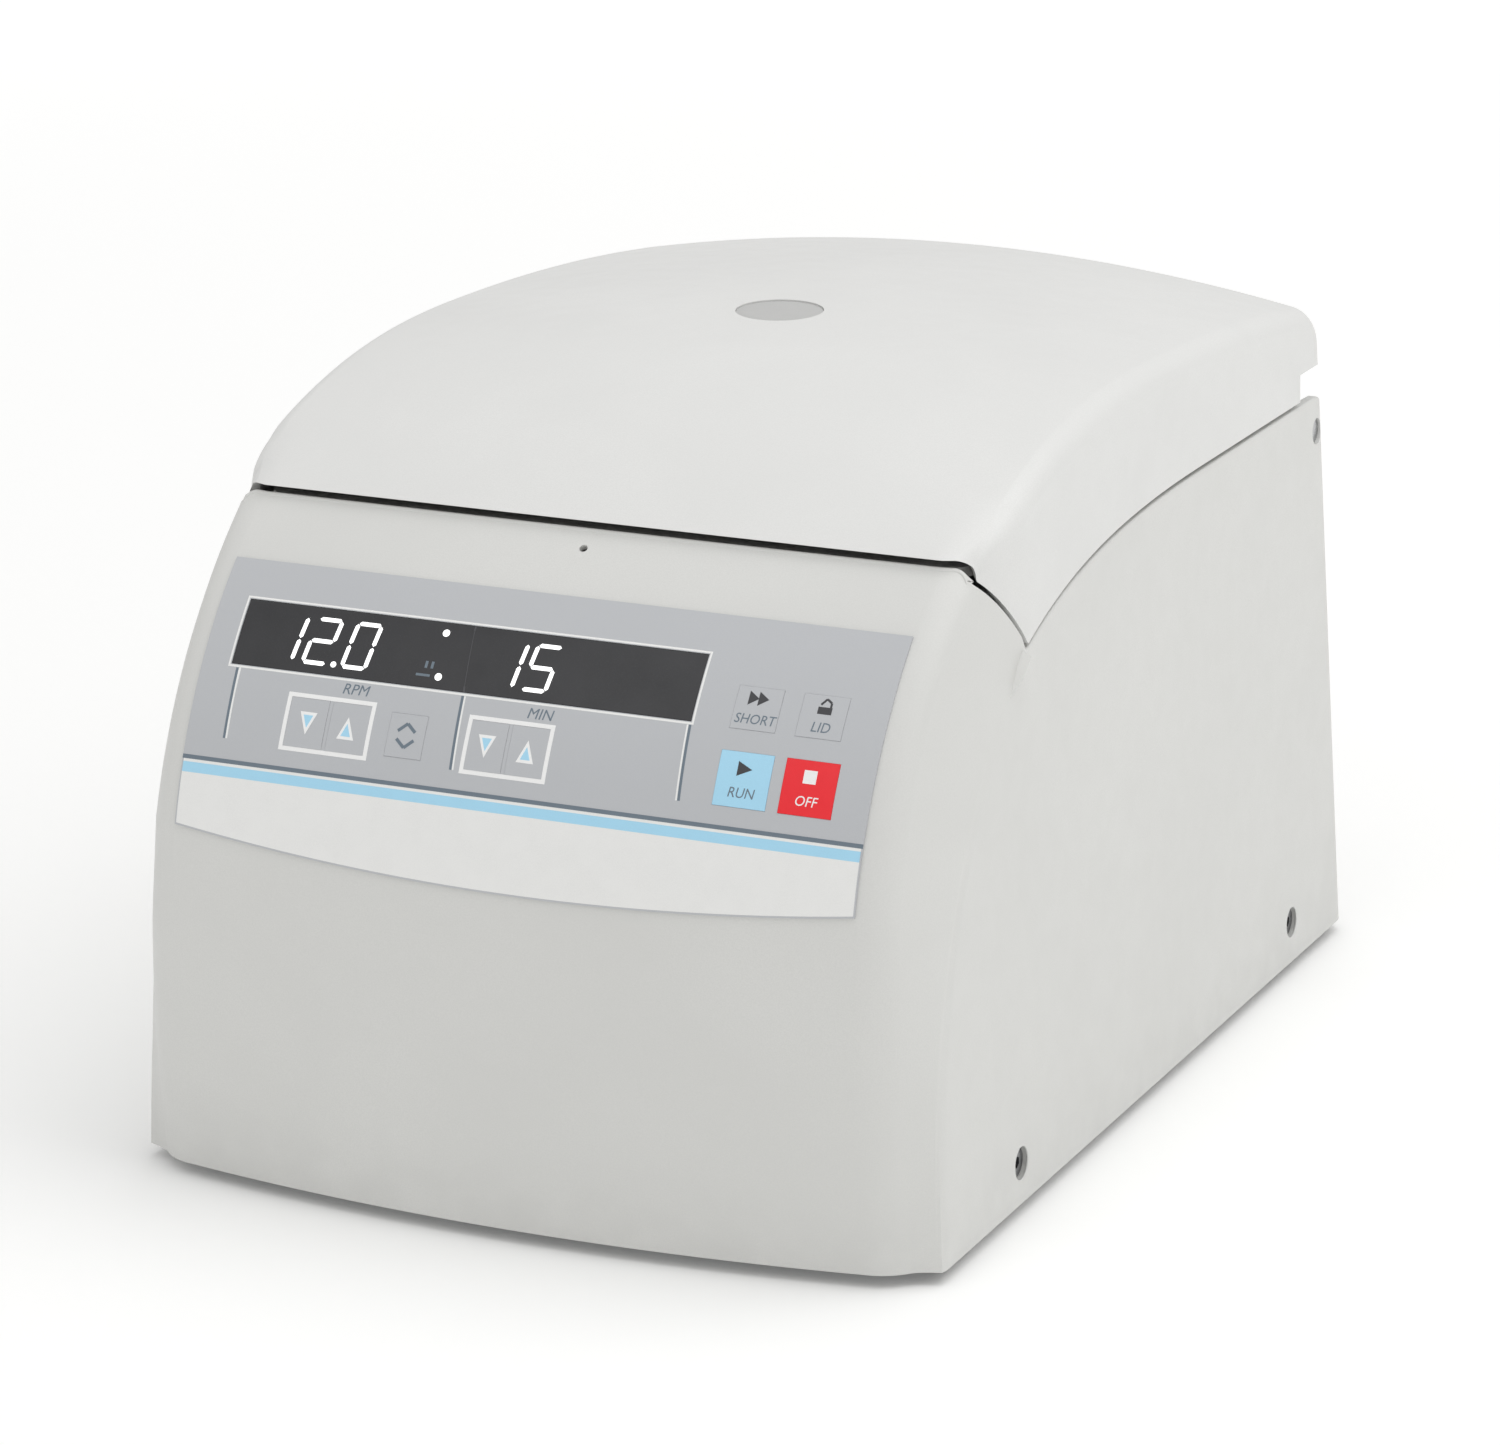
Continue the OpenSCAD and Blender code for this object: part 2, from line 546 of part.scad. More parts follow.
module power_switch() {
    color("dimgray") on_rear(switch_x, inlet_z, wall)
        translate([0, 0, -3]) rotate([rocker_tilt, 0, 0]) translate([0, 0, 3]) {
        difference() {
            intersection() {
                translate([-7, 0, -3]) rotate([0, 90, 0]) cylinder(r = 11, h = 14);
                translate([-7, -10.6, -9]) cube([14, 21.2, 14]);
            }
            translate([-8, 0, 24]) rotate([0, 90, 0]) cylinder(r = 22, h = 16);
        }
        translate([-8.8, 0, -3]) rotate([0, 90, 0]) cylinder(r = rocker_pin_r, h = 17.6);
    }
}

module revolve(points) {
    rotate_extrude() polygon(points);
}
bowl_low_r = bowl_r - 15;
bowl_hole_r = 15;
module rotor_bowl() {
    r = bowl_r;
    t = bowl_t;
    f = bowl_floor_z;
    top = deck_top_z;
    color("lightgray") translate([0, axis_y, 0]) revolve([[bowl_hole_r, f], [bowl_low_r, f], [r, f + 12],
        [r, top + t], [rim_r, top + t], [rim_r, top], [r + t, top], [r + t, f + 12 - t / 2],
        [bowl_low_r, f - t], [bowl_hole_r, f - t]]);
}
module chamber_seal() {
    z = deck_top_z + bowl_t;
    color([0.2, 0.2, 0.2]) translate([0, axis_y, 0]) revolve([[rim_r - 8, z], [rim_r, z], [rim_r, z + 1.6],
        [rim_r - 2.4, z + 1.6], [rim_r - 3, z + seal_h], [rim_r - 4.2, z + seal_h],
        [rim_r - 5.2, z + 1.6], [rim_r - 8, z + 1.6]]);
}

plate_z = rotor_z - 22;
motor_h = plate_z - motor_low_z;
plate_t = 3;
nose_r = 17;
nose_h = 12;
bearing_r = 13;
bearing_h = 9;
module motor_body() {
    low = plate_z - motor_h;
    b = shaft_r + run_fit;
    top = plate_z + nose_h;
    color([0.3, 0.3, 0.32]) translate([0, axis_y, 0]) {
        revolve([[b + 2, low], [motor_r - 4, low], [motor_r, low + 4], [motor_r, plate_z - 5],
            [motor_r + 6, plate_z - 5], [motor_r + 6, plate_z], [nose_r, plate_z], [nose_r - 2, top],
            [bearing_r, top], [bearing_r, top - bearing_h], [b + 2, top - bearing_h],
            [b + 2, low + bearing_h + 2], [bearing_r, low + bearing_h + 2], [bearing_r, low + 2], [b + 2, low + 2]]);
        for (i = [0:11]) rotate([0, 0, i * 30]) translate([motor_r - 1, -1.5, low + 8]) cube([4, 3, motor_h - 18]);
    }
}
module motor_bearings() {
    color("silver") translate([0, axis_y, 0])
        for (z = [plate_z - motor_h + 2, plate_z + nose_h - bearing_h]) translate([0, 0, z]) difference() {
            cylinder(r = bearing_r, h = bearing_h);
            translate([0, 0, -1]) cylinder(r = shaft_r + run_fit, h = bearing_h + 2);
        }
}
damper_circle = 64;
damper_r = 9;
damper_h = 26;
stud_r = 3;
module round_damper_places() {
    for (a = [90, 210, 330]) translate([damper_circle * cos(a), axis_y + damper_circle * sin(a), 0]) children();
}
module motor_plate() {
    color("silver") difference() {
        union() {
            translate([0, axis_y, plate_z]) cylinder(r = 58, h = plate_t);
            hull() round_damper_places() translate([0, 0, plate_z]) cylinder(r = 14, h = plate_t, $fn = 32);
        }
        translate([0, axis_y, plate_z - 1]) cylinder(r = nose_r, h = 10);
        round_damper_places() translate([0, 0, plate_z - 1]) cylinder(r = stud_r, h = 10);
    }
}
module motor_dampers() {
    color([0.15, 0.15, 0.15]) round_damper_places() {
        translate([0, 0, plate_z - damper_h]) revolve([[0, 0], [damper_r, 0], [damper_r, 7],
            [damper_r - 2.5, damper_h / 2], [damper_r, damper_h - 7], [damper_r, damper_h], [0, damper_h]]);
        translate([0, 0, plate_z]) cylinder(r = stud_r, h = plate_t + 4);
    }
}
module motor_stand() {
    color("silver") round_damper_places() translate([0, 0, casing_z + pan_t])
        cylinder(r = 7, h = plate_z - damper_h - casing_z - pan_t);
}
module motor_shaft() {
    low = plate_z - motor_h + 2;
    color("silver") translate([0, axis_y, low]) {
        cylinder(r = shaft_r, h = rotor_z + 28 - low);
        translate([0, 0, plate_z + nose_h + 0.5 - low])
            cylinder(r = shaft_r + 3, h = rotor_z - plate_z - nose_h - 0.5);
    }
}

rotor_mouth_h = 33;
tube_depth = 35;
hub_r = 16;
stud_top = 20;
knob_stud_r = 7;
module rotor_body() {
    m = rotor_mouth_h;
    k = 1 / tan(tube_angle);
    inner_r = tube_mouth_r - 14;
    low = m - (tube_mouth_r - inner_r) * k;
    color([0.25, 0.25, 0.27]) translate([0, axis_y, rotor_z]) difference() {
        union() {
            revolve([[0, 0], [rotor_r - 4, 0], [rotor_r, 5], [rotor_r, rotor_h - 16],
                [rotor_r - 5, rotor_h - 4], [rotor_r - 9, rotor_h], [tube_mouth_r + (rotor_h - m) / k, rotor_h],
                [inner_r, low], [hub_r, low], [hub_r, m + 4], [knob_stud_r, m + 4],
                [knob_stud_r, m + stud_top], [0, m + stud_top]]);
        }
        translate([0, 0, -1]) cylinder(r = shaft_r, h = 29);
        translate([0, 0, -1]) revolve([[20, 0], [rotor_r - 24, 0], [rotor_r - 42, 8], [24, 10]]);
        for (i = [0:tube_count - 1]) rotate([0, 0, i * 360 / tube_count])
            translate([tube_mouth_r, 0, m]) rotate([0, 180 - tube_angle, 0]) translate([0, 0, -6])
                cylinder(d = tube_d, h = tube_depth + 6);
    }
}
lid_seat = rotor_z + rotor_h + 0.3;
module rotor_lid() {
    color([0.55, 0.57, 0.6]) translate([0, axis_y, lid_seat]) revolve([[knob_stud_r + run_fit, 0],
        [rotor_r - 8, 0], [rotor_r - 7, 1.2], [rotor_r - 10, 2.4], [rotor_r - 46, 4.5], [knob_stud_r + run_fit, 5]]);
}
module rotor_knob() {
    s = knob_stud_r + run_fit;
    color([0.2, 0.2, 0.22]) translate([0, axis_y, lid_seat + 5]) difference() {
        union() {
            revolve([[0, 0], [13, 0], [13, 2], [11, 4], [11, 11], [9, 13], [0, 13]]);
            for (i = [0:7]) rotate([0, 0, i * 45]) translate([10, -1.5, 3]) cube([3, 3, 7.5]);
        }
        translate([0, 0, -1]) cylinder(r = s, h = 10);
    }
}

bolt_z = deck_top_z - 12.5;
bolt_r = 2.2;
plunger_r = 4;
striker_t = 4;
bolt_rest_x = striker_t / 2 + 1.6;
solenoid_x = [34, 62];
module lock_case() {
    color([0.25, 0.25, 0.26]) difference() {
        box([-18, lock_y - 9, bolt_z - 15], [18, lock_y + 9, deck_top_z - deck_t]);
        box([-lock_slot[0] / 2, lock_y - lock_slot[1] / 2, bolt_z - 12],
            [lock_slot[0] / 2, lock_y + lock_slot[1] / 2, deck_top_z + 5]);
        rod_x(-14, 30, lock_y, bolt_z, bolt_r + run_fit);
    }
}
module latch_bolt() {
    color("silver") {
        rod_x(bolt_rest_x, solenoid_x[0] + 2, lock_y, bolt_z, bolt_r);
        rod_x(solenoid_x[0] + 2, solenoid_x[0] + 16, lock_y, bolt_z, plunger_r);
    }
}
module latch_solenoid() {
    color("slategray") difference() {
        box([solenoid_x[0] - 8, lock_y - 9, bolt_z - 9], [solenoid_x[1], lock_y + 9, deck_top_z - deck_t]);
        rod_x(solenoid_x[0] - 9, solenoid_x[1] - 8, lock_y, bolt_z, plunger_r + run_fit);
    }
}

eye_y = 2.6;
module striker() {
    low = bolt_z - 7;
    color("silver") difference() {
        union() {
            box([-striker_t / 2, lock_y - 5, low], [striker_t / 2, lock_y + 4.5, liner_z]);
            box([-12, lock_y - 1, liner_z - 1.5], [12, lock_y + 12, liner_z]);
        }
        box([-striker_t, lock_y - eye_y, bolt_z - 3], [striker_t, lock_y + eye_y, bolt_z + 3]);
    }
}
module lid_shell() {
    top = lid_mid_z(axis_y);
    color(shell_color) difference() {
        sheet_shell([for (r = lid_rows) lid_row(r[0], r[1], 0)],
            [for (r = lid_rows) lid_row(r[0], r[1], wall)]);
        translate([0, axis_y, top - 12]) cylinder(d = port_d, h = 30);
    }
}
liner_y = [front_edge_y + 5.4, hinge_y - 19.2];
module lid_liner() {
    w = side_x(liner_z) - wall - 0.25;
    z = liner_z;
    color([0.78, 0.79, 0.78]) difference() {
        union() {
            translate([0, 0, z]) linear_extrude(height = liner_t) polygon([[-w, seam_end_y + 4],
                [-w, liner_y[1]], [w, liner_y[1]], [w, seam_end_y + 4], [w - 7.5, liner_y[0] + 4],
                [w - 12, liner_y[0]], [12 - w, liner_y[0]], [7.5 - w, liner_y[0] + 4]]);
            translate([0, axis_y, z + liner_t]) cylinder(d = port_d + 8, h = 6);
            box([-w, liner_y[1], side_top_z + side_gap + 0.3], [w, liner_y[1] + 3, z + 9]);
        }
        mirrored() box([arm_x - arm_w / 2 - 0.1, liner_y[1] - 1, z - 60], [arm_x + arm_w / 2 + 0.1, liner_y[1] + 9, z + 30]);
        translate([0, axis_y, z - 1]) cylinder(d = port_d - 3, h = 20);
    }
}
module lid_port() {
    top = lid_mid_z(axis_y);
    low = liner_z + liner_t + 6;
    r = port_d / 2;
    color([0.82, 0.83, 0.83, 0.7]) translate([0, axis_y, 0]) difference() {
        cylinder(r = r - 0.05, h = top - 0.4);
        translate([0, 0, -1]) cylinder(r = r + 1, h = low + 1);
        cylinder(r = r - 1.8, h = top - 3.4);
    }
}

barrel_r = 6.4;
arm_top = liner_z + liner_t;
module hinge_arms() {
    y = hinge_y;
    z = hinge_z;
    color([0.35, 0.35, 0.36]) mirrored() translate([arm_x - arm_w / 2, 0, 0]) rotate([90, 0, 90])
        linear_extrude(height = arm_w) difference() {
            union() {
                translate([y, z]) circle(r = barrel_r);
                polygon([[y - 52, arm_top], [y - 52, arm_top + 3.6], [y - 8.2, arm_top + 3.6], [y + 3, z + 5.4],
                    [y - 5, z - 4], [liner_y[1] - 1, arm_top]]);
            }
            translate([y, z]) circle(r = hinge_pin_r + run_fit);
        }
}
bracket_t = 2.4;
module hinge_brackets() {
    inner = rear_at(hinge_z) - wall - 0.4;
    low = hinge_z - 33.5;
    color("silver") mirrored() for (x = [arm_x - slot_w / 2 - bracket_t, arm_x + slot_w / 2])
        translate([x, 0, 0]) rotate([90, 0, 90]) linear_extrude(height = bracket_t) difference() {
            union() {
                translate([hinge_y, hinge_z]) circle(r = 7);
                polygon([[hinge_y - 7, hinge_z], [hinge_y - 7, low], [rear_at(low) - wall - 0.3, low], [inner, hinge_z]]);
            }
            translate([hinge_y, hinge_z]) circle(r = hinge_pin_r);
        }
}
module hinge_pins() {
    color("silver") mirrored()
        rod_x(arm_x - slot_w / 2 - bracket_t - 1, side_x(hinge_z) - 1, hinge_y, hinge_z, hinge_pin_r);
}

key_base_r = face_r - 1;
pocket_r = key_base_r - key_travel - 0.3;
module keypad_carrier() {
    d = 1;
    color([0.4, 0.4, 0.42]) difference() {
        face_patch(face_r - carrier_t, face_r, -carrier_x + 0.1, carrier_x - 0.1,
            carrier_arc[0] + 0.1, carrier_arc[1] - 0.1);
        for (k = [0:8]) key_patch(k, pocket_r, face_r + 2, key_gap);
        face_patch(100, 140, display_x[0] + d, display_x[1] - d, display_arc[0] + d, display_arc[1] - d);
    }
}
// Everything in front of the face and below a line just over the crease
module below_crease() {
    n = 16;
    w = overlay_half_w + 1;
    translate([0, front_y + 80, 0]) rotate([90, 0, 0]) linear_extrude(height = 120) polygon(concat(
        [for (i = [-n:n]) [w * i / n, crease_at(w * i / n) + 0.5]], [[w, 0], [-w, 0]]));
}
module front_overlay() {
    color([0.73, 0.74, 0.75]) difference() {
        face_patch(face_r, face_r + overlay_t, -overlay_half_w, overlay_half_w, arc_of(crease_z), overlay_high_arc);
        below_crease();
        for (k = [0:8]) key_patch(k, face_r - 1, face_r + 4, key_gap);
        face_patch(face_r - 1, face_r + 4, display_x[0] - 0.1, display_x[1] + 0.1,
            display_arc[0] - 0.1, display_arc[1] + 0.1);
    }
}
module display_window() {
    d = 1.1;
    color([0.26, 0.26, 0.27]) union() {
        face_patch(face_r, face_r + overlay_t, display_x[0], display_x[1], display_arc[0], display_arc[1]);
        face_patch(face_r - display_glass_t, face_r, display_x[0] + d, display_x[1] - d,
            display_arc[0] + d, display_arc[1] - d);
    }
}
// Stands on the control face at arc length a, with z pointing out of the face
module on_face(a, r) {
    t = a / face_r * 180 / PI;
    translate([0, face_cy, face_cz]) rotate([90 - t, 0, 0]) translate([0, 0, r]) children();
}
module display_board() {
    r = face_r - carrier_t - 9;
    color("darkgreen") on_face((display_arc[0] + display_arc[1]) / 2, r) {
        translate([display_x[0] + 4, -13, 0]) cube([display_x[1] - display_x[0] - 4.2, 26, 1.6]);
        for (i = [0, 1, 2, 4.6, 5.6]) translate([display_x[0] + 11 + i * 14, -7, 1.6]) cube([12, 16, 5]);
        for (x = [display_x[0] + 8, display_x[1] - 4.2], y = [-10.5, 10.5])
            translate([x, y, 1.6]) cylinder(d = 4, h = 6.4);
    }
}
module control_board() {
    r = face_r - carrier_t - 7;
    color("darkgreen") on_face(arrow_y - 3, r) {
        translate([3 - carrier_x, -14, 0]) cube([2 * carrier_x - 6, 24, 1.6]);
        for (x = [7 - carrier_x, carrier_x - 7], y = [-5, 7]) translate([x, y, 1.6]) cylinder(d = 4, h = 5);
        translate([-20, -8, -4]) cube([30, 12, 4]);
    }
}
module power_board() {
    z = casing_z + pan_t;
    x1 = pan_side - 93;
    y1 = rear_y - 86.2;
    color("darkgreen") {
        translate([x1, y1, z + 6]) cube([64, 62, 1.6]);
        for (x = [x1 + 4, x1 + 60], y = [y1 + 4, y1 + 58]) translate([x, y, z]) cylinder(d = 5, h = 6);
        translate([x1 + 6, y1 + 8, z + 7.6]) cube([22, 22, 18]);
        for (y = [14, 32, 50]) translate([x1 + 50, y1 + y, z + 7.6]) cylinder(d = 14, h = 26);
        translate([x1 + 10, y1 + 40, z + 7.6]) cube([26, 8, 22]);
    }
}
post_places = [for (x = [-1, 1], y = [axis_y - 56, axis_y + bowl_r + 9]) [x * (deck_half_w - 9.6), y]];
module deck_posts() {
    z = casing_z + pan_t;
    color("silver") for (p = post_places) translate([p[0], p[1], z])
        cylinder(r = 5, h = deck_top_z - deck_t - z);
}
module side_screws() {
    color([0.35, 0.35, 0.36]) mirrored() for (s = screw_places) difference() {
        union() {
            rod_x(pan_side, pan_side + 2.2, s[0], s[1], screw_head_r);
            rod_x(pan_side - 7, pan_side, s[0], s[1], screw_shank_r);
        }
        translate([pan_side + 0.8, s[0], s[1]]) rotate([0, 90, 0]) cylinder(r = 1.8, h = 5, $fn = 6);
    }
}
module key(k, c) {
    color(c) key_patch(k, key_base_r, face_r + overlay_t + key_proud);
}
plain_key = [0.75, 0.76, 0.77];
module speed_down_key() { key(0, plain_key); }
module speed_up_key() { key(1, plain_key); }
module speed_unit_key() { key(2, plain_key); }
module time_down_key() { key(3, plain_key); }
module time_up_key() { key(4, plain_key); }
module pulse_key() { key(5, plain_key); }
module open_key() { key(6, plain_key); }
module start_key() { key(7, [0.67, 0.81, 0.88]); }
module stop_key() { key(8, [0.89, 0.2, 0.24]); }

housing();
chamber_deck();
hinge_cover();
base_pan();
feet();
rear_panel();
mains_inlet();
power_switch_frame();
power_switch();
rotor_bowl();
chamber_seal();
motor_body();
motor_plate();
motor_dampers();
motor_stand();
motor_bearings();
motor_shaft();
rotor_body();
rotor_lid();
rotor_knob();
lock_case();
latch_bolt();
latch_solenoid();
lid_shell();
lid_liner();
lid_port();
hinge_arms();
striker();
hinge_brackets();
hinge_pins();
keypad_carrier();
front_overlay();
display_window();
display_board();
control_board();
power_board();
deck_posts();
side_screws();
speed_down_key();
speed_up_key();
speed_unit_key();
time_down_key();
time_up_key();
pulse_key();
open_key();
start_key();
stop_key();
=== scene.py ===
"""Looks for a small bench microcentrifuge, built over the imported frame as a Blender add-on and run as a script."""

from math import asin, atan, cos, exp, floor, hypot, pi, radians, sin, sqrt, tan

import bmesh
import bpy
import numpy as np
from bpy.props import FloatProperty, FloatVectorProperty
from mathutils import Matrix, Vector


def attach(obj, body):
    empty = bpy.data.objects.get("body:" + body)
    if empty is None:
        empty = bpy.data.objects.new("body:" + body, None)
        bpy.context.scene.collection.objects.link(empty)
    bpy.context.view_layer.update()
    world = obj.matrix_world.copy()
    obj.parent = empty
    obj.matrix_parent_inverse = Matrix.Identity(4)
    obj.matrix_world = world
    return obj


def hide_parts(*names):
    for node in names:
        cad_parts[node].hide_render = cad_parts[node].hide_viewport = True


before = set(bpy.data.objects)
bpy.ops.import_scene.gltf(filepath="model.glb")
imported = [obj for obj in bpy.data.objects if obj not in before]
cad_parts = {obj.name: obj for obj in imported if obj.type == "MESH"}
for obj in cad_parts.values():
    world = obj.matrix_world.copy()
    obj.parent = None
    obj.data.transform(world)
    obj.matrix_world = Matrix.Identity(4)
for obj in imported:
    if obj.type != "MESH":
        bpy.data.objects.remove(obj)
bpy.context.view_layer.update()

bl_info = {
    "name": "Bench Microcentrifuge",
    "version": (1, 0, 0),
    "blender": (4, 5, 0),
    "location": "View3D > Sidebar > Centrifuge",
    "description": "Dresses a packed microcentrifuge frame with moulded shells, printed controls and a studio stage",
    "category": "Object",
}

MM = 0.001

# Settings


def size(name, text, default, unit="LENGTH"):
    return FloatProperty(name=name, description=text, default=default, unit=unit, precision=5)


def number(name, text, default):
    return FloatProperty(name=name, description=text, default=default)


def colour(name, text, hex_code):
    rgb = srgb(hex_code)
    return FloatVectorProperty(name=name, description=text, default=rgb, size=3, subtype="COLOR", min=0, max=1)


def srgb(code):
    out = []
    for i in (0, 2, 4):
        c = int(code[i : i + 2], 16) / 255
        out.append(c / 12.92 if c <= 0.04045 else ((c + 0.055) / 1.055) ** 2.4)
    return tuple(out)


class ShellSettings(bpy.types.PropertyGroup):
    seam_depth: size("Seam depth", "Depth of the moulded seam between front and side", 0.0006)
    seam_width: size("Seam width", "Width of the moulded seam", 0.0022)
    rim_radius: size("Rim radius", "Rounding of the casing's upper rim", 0.0009)
    grain: number("Grain", "Strength of the moulded spark grain", 0.05)
    # Casing and lid are lit and shaded copies of one plastic: the lid's paler colour is painted light, the extra
    # light its domed top catches over the casing's sides.
    casing: colour("Casing", "Moulded casing plastic", "DADAD7")
    lid: colour("Lid", "Moulded lid plastic", "E1E1DF")
    inside: colour("Inside", "Plastic of the deck and the lid liner", "D2D2CF")


class PanelSettings(bpy.types.PropertyGroup):
    print_height: size("Print height", "Thickness of a printed layer over the film", 0.00005)
    digit_height: size("Digit height", "Height of a display digit", 0.0140)
    digit_slant: number("Digit slant", "Lean of the display digits, sideways per height", 0.12)
    line_width: size("Line width", "Width of the fine printed lines", 0.00045)
    film: colour("Film", "Grey ground of the printed overlay", "BEC0C3")
    # This pale colour also paints the highlight lines beside the rules.
    pale_line: colour("Pale line", "Pale line round the overlay", "EFEFED")
    window: colour("Window", "Smoked display window", "3B3B3D")
    digit: colour("Digit", "Lit display segments", "F7F7F7")
    blue: colour("Blue", "Light blue stripe and start key", "AADBF3")
    slate: colour("Slate", "Slate line, rules and labels", "6E7B86")
    strip: colour("Strip", "White strip at the foot of the overlay", "ECECEA")
    stop: colour("Stop", "Stop key", "F0252F")
    icon: colour("Icon", "Dark printed icons", "3E3E41")


class MetalSettings(bpy.types.PropertyGroup):
    bowl: colour("Bowl", "Spun steel of the rotor bowl", "C4C6C8")
    rotor: colour("Rotor", "Anodised rotor body", "6F7378")
    rotor_lid: colour("Rotor lid", "Turned rotor lid", "B9BBBE")
    paint: colour("Paint", "Powder coat of the rear panel", "C9C9C5")
    dark_paint: colour("Dark paint", "Powder coat of the hinge arms", "4C4D50")
    steel: colour("Steel", "Bright steel of pins and plates", "B6B7B9")
    rubber: colour("Rubber", "Rubber of seal, dampers and feet", "2A2A2B")
    black: colour("Black", "Black plastic of the rear fittings", "1D1D1F")
    board: colour("Board", "Lacquer of the circuit boards", "1E5A3A")


class StageSettings(bpy.types.PropertyGroup):
    floor_size: size("Floor size", "Width of the pale floor", 12.0)
    floor: colour("Floor", "Pale floor", "FBFBFA")
    world: number("World light", "Strength of the even surrounding light", 0.61)
    key_power: number("Key light", "Power of the large soft light", 3.7)
    fill_power: number("Fill light", "Power of the side light", 0.2)
    lens: number("Lens", "Focal length of the camera on a 36 mm sensor", 138.91)
    azimuth: number("Azimuth", "Camera azimuth in degrees, from the front towards the right", 24.133)
    elevation: number("Elevation", "Camera elevation in degrees", 16.354)


# The casing's form, as in the CAD source, in millimetres

HALF_W, CASING_Z, DRAFT, WALL = 121.0, 4.0, tan(radians(2)), 3.0
REAR_Y, REAR_LEAN, REAR_R = 178.2, 0.093, 9.0
FACE_R, FACE_CZ, FACE_CY, FACE_HW = 131.0, 75.0, -44.0, 101.0
CREASE_Z, CREASE_RISE, TUCK, BELLY, BULGE, CORNER = 97.5, 6.8, 4.7, 2.0, 7.65, 7.5
SEAM_Y0, SEAM_RUN = -157.0, 69.0
FRONT_Z, FRONT_GAP, SIDE_GAP, TIP_Z, SIDE_Z = 183.0, 3.0, 1.2, 158.0, 176.5
HINGE_Y, HINGE_Z, ROLL_R = 152.2, 165.5, 11.0
SEAM_END_Y = SEAM_Y0 + SEAM_RUN
FRONT_EDGE_Y = FACE_CY - sqrt(FACE_R**2 - (FRONT_Z + 1.5 - FACE_CZ) ** 2)
LID_FRONT_Z = FRONT_Z + FRONT_GAP
RIM_Z, RIM_CORNER_X, RIM_CORNER_RUN, RIM_CORNER_DROP = FRONT_Z + 2.9, 103.8, 5.2, 4.6
LEVELS, CREASE_SHARE = 58, 0.42
OVERLAY_T = 0.6
FILM_R = FACE_R + OVERLAY_T


def mix(a, b, t):
    return a * (1 - t) + b * t


def clamp01(t):
    return min(max(t, 0.0), 1.0)


def side_x(z):
    return HALF_W - (z - CASING_Z) * DRAFT


def seam_y(z):
    return SEAM_Y0 + SEAM_RUN * (min(z, TIP_Z) / TIP_Z) ** 3.1


def rear_at(z):
    return REAR_Y - REAR_LEAN * (z - CASING_Z)


def face_y(z):
    return FACE_CY - sqrt(FACE_R**2 - (z - FACE_CZ) ** 2)


def crease_at(x):
    return CREASE_Z + CREASE_RISE * (x / FACE_HW) ** 2


def front_at(x, z):
    c = crease_at(x)
    if z >= c:
        return face_y(z)
    t = (c - z) / (c - CASING_Z)
    return face_y(c) + TUCK * t**2.4 - BELLY * sin(pi * t) - BULGE * (1 - (x / FACE_HW) ** 2) * t


def branch_y(z):
    return mix(SEAM_END_Y, FRONT_EDGE_Y, clamp01((z - TIP_Z) / (LID_FRONT_Z - 1.5 - TIP_Z)) ** 1.15)


def right_branch_z(y):
    s = clamp01((48 - y) / (48 - SEAM_END_Y))
    return SIDE_Z - (SIDE_Z - TIP_Z) * s * s * (0.5 + 0.5 * s * s)


def side_edge_z(y):
    if y < HINGE_Y:
        return right_branch_z(y)
    return HINGE_Z + sqrt(max(ROLL_R**2 - (y - HINGE_Y) ** 2, 0))


def corner_pt(z):
    return np.array([FACE_HW + CORNER, front_at(FACE_HW, z) + 0.7])


def seam_pt(z):
    return np.array([side_x(z), seam_y(z)])


def pillar_pt(v, z):
    c, k = corner_pt(z), seam_pt(z)
    d = (k - c) / np.linalg.norm(k - c)
    swell = mix(-1.8, 1.2, clamp01((z - CASING_Z) / 70))
    return mix(c, k, v) + np.array([d[1], -d[0]]) * swell * 4 * v * (1 - v)


def pillar_start(z):
    return 7 / np.linalg.norm(seam_pt(z) - corner_pt(z))


def corner_curve(t, z):
    a, b, c = np.array([FACE_HW, front_at(FACE_HW, z)]), corner_pt(z), pillar_pt(pillar_start(z), z)
    return a * (1 - t) ** 2 + b * 2 * t * (1 - t) + c * t * t


def pillar_top(c):
    """Height at which a column of the corner or the pillar meets the lid's line."""
    lo, hi = TIP_Z, RIM_Z
    for _ in range(22):
        m = (lo + hi) / 2
        if column_pt(c, m)[1] < branch_y(m):
            lo = m
        else:
            hi = m
    return lo


def side_pt_y(u, z):
    return mix(seam_y(z), rear_at(z) - REAR_R, u)


def column_top(c):
    """Height of the rim over a column, by kind: 0 front, 1 corner, 2 pillar, 3 side, 4 rear corner, 5 rear."""
    kind, t = c
    if kind == 0:
        return RIM_Z
    if kind == 1:
        s = clamp01((column_pt(c, RIM_Z - 2)[0] - RIM_CORNER_X) / RIM_CORNER_RUN)
        edge = LID_FRONT_Z - RIM_CORNER_DROP * (1 - sqrt(1 - s * s))
        return min(RIM_Z, max(pillar_top(c), edge))
    if kind == 2:
        return pillar_top(c)
    if kind == 3:
        z = 170.0
        for _ in range(12):
            z = side_edge_z(side_pt_y(t, z))
        return z
    if kind == 4:
        return side_edge_z(rear_at(HINGE_Z) - REAR_R * (1 - sin(t * pi / 2)))
    return HINGE_Z


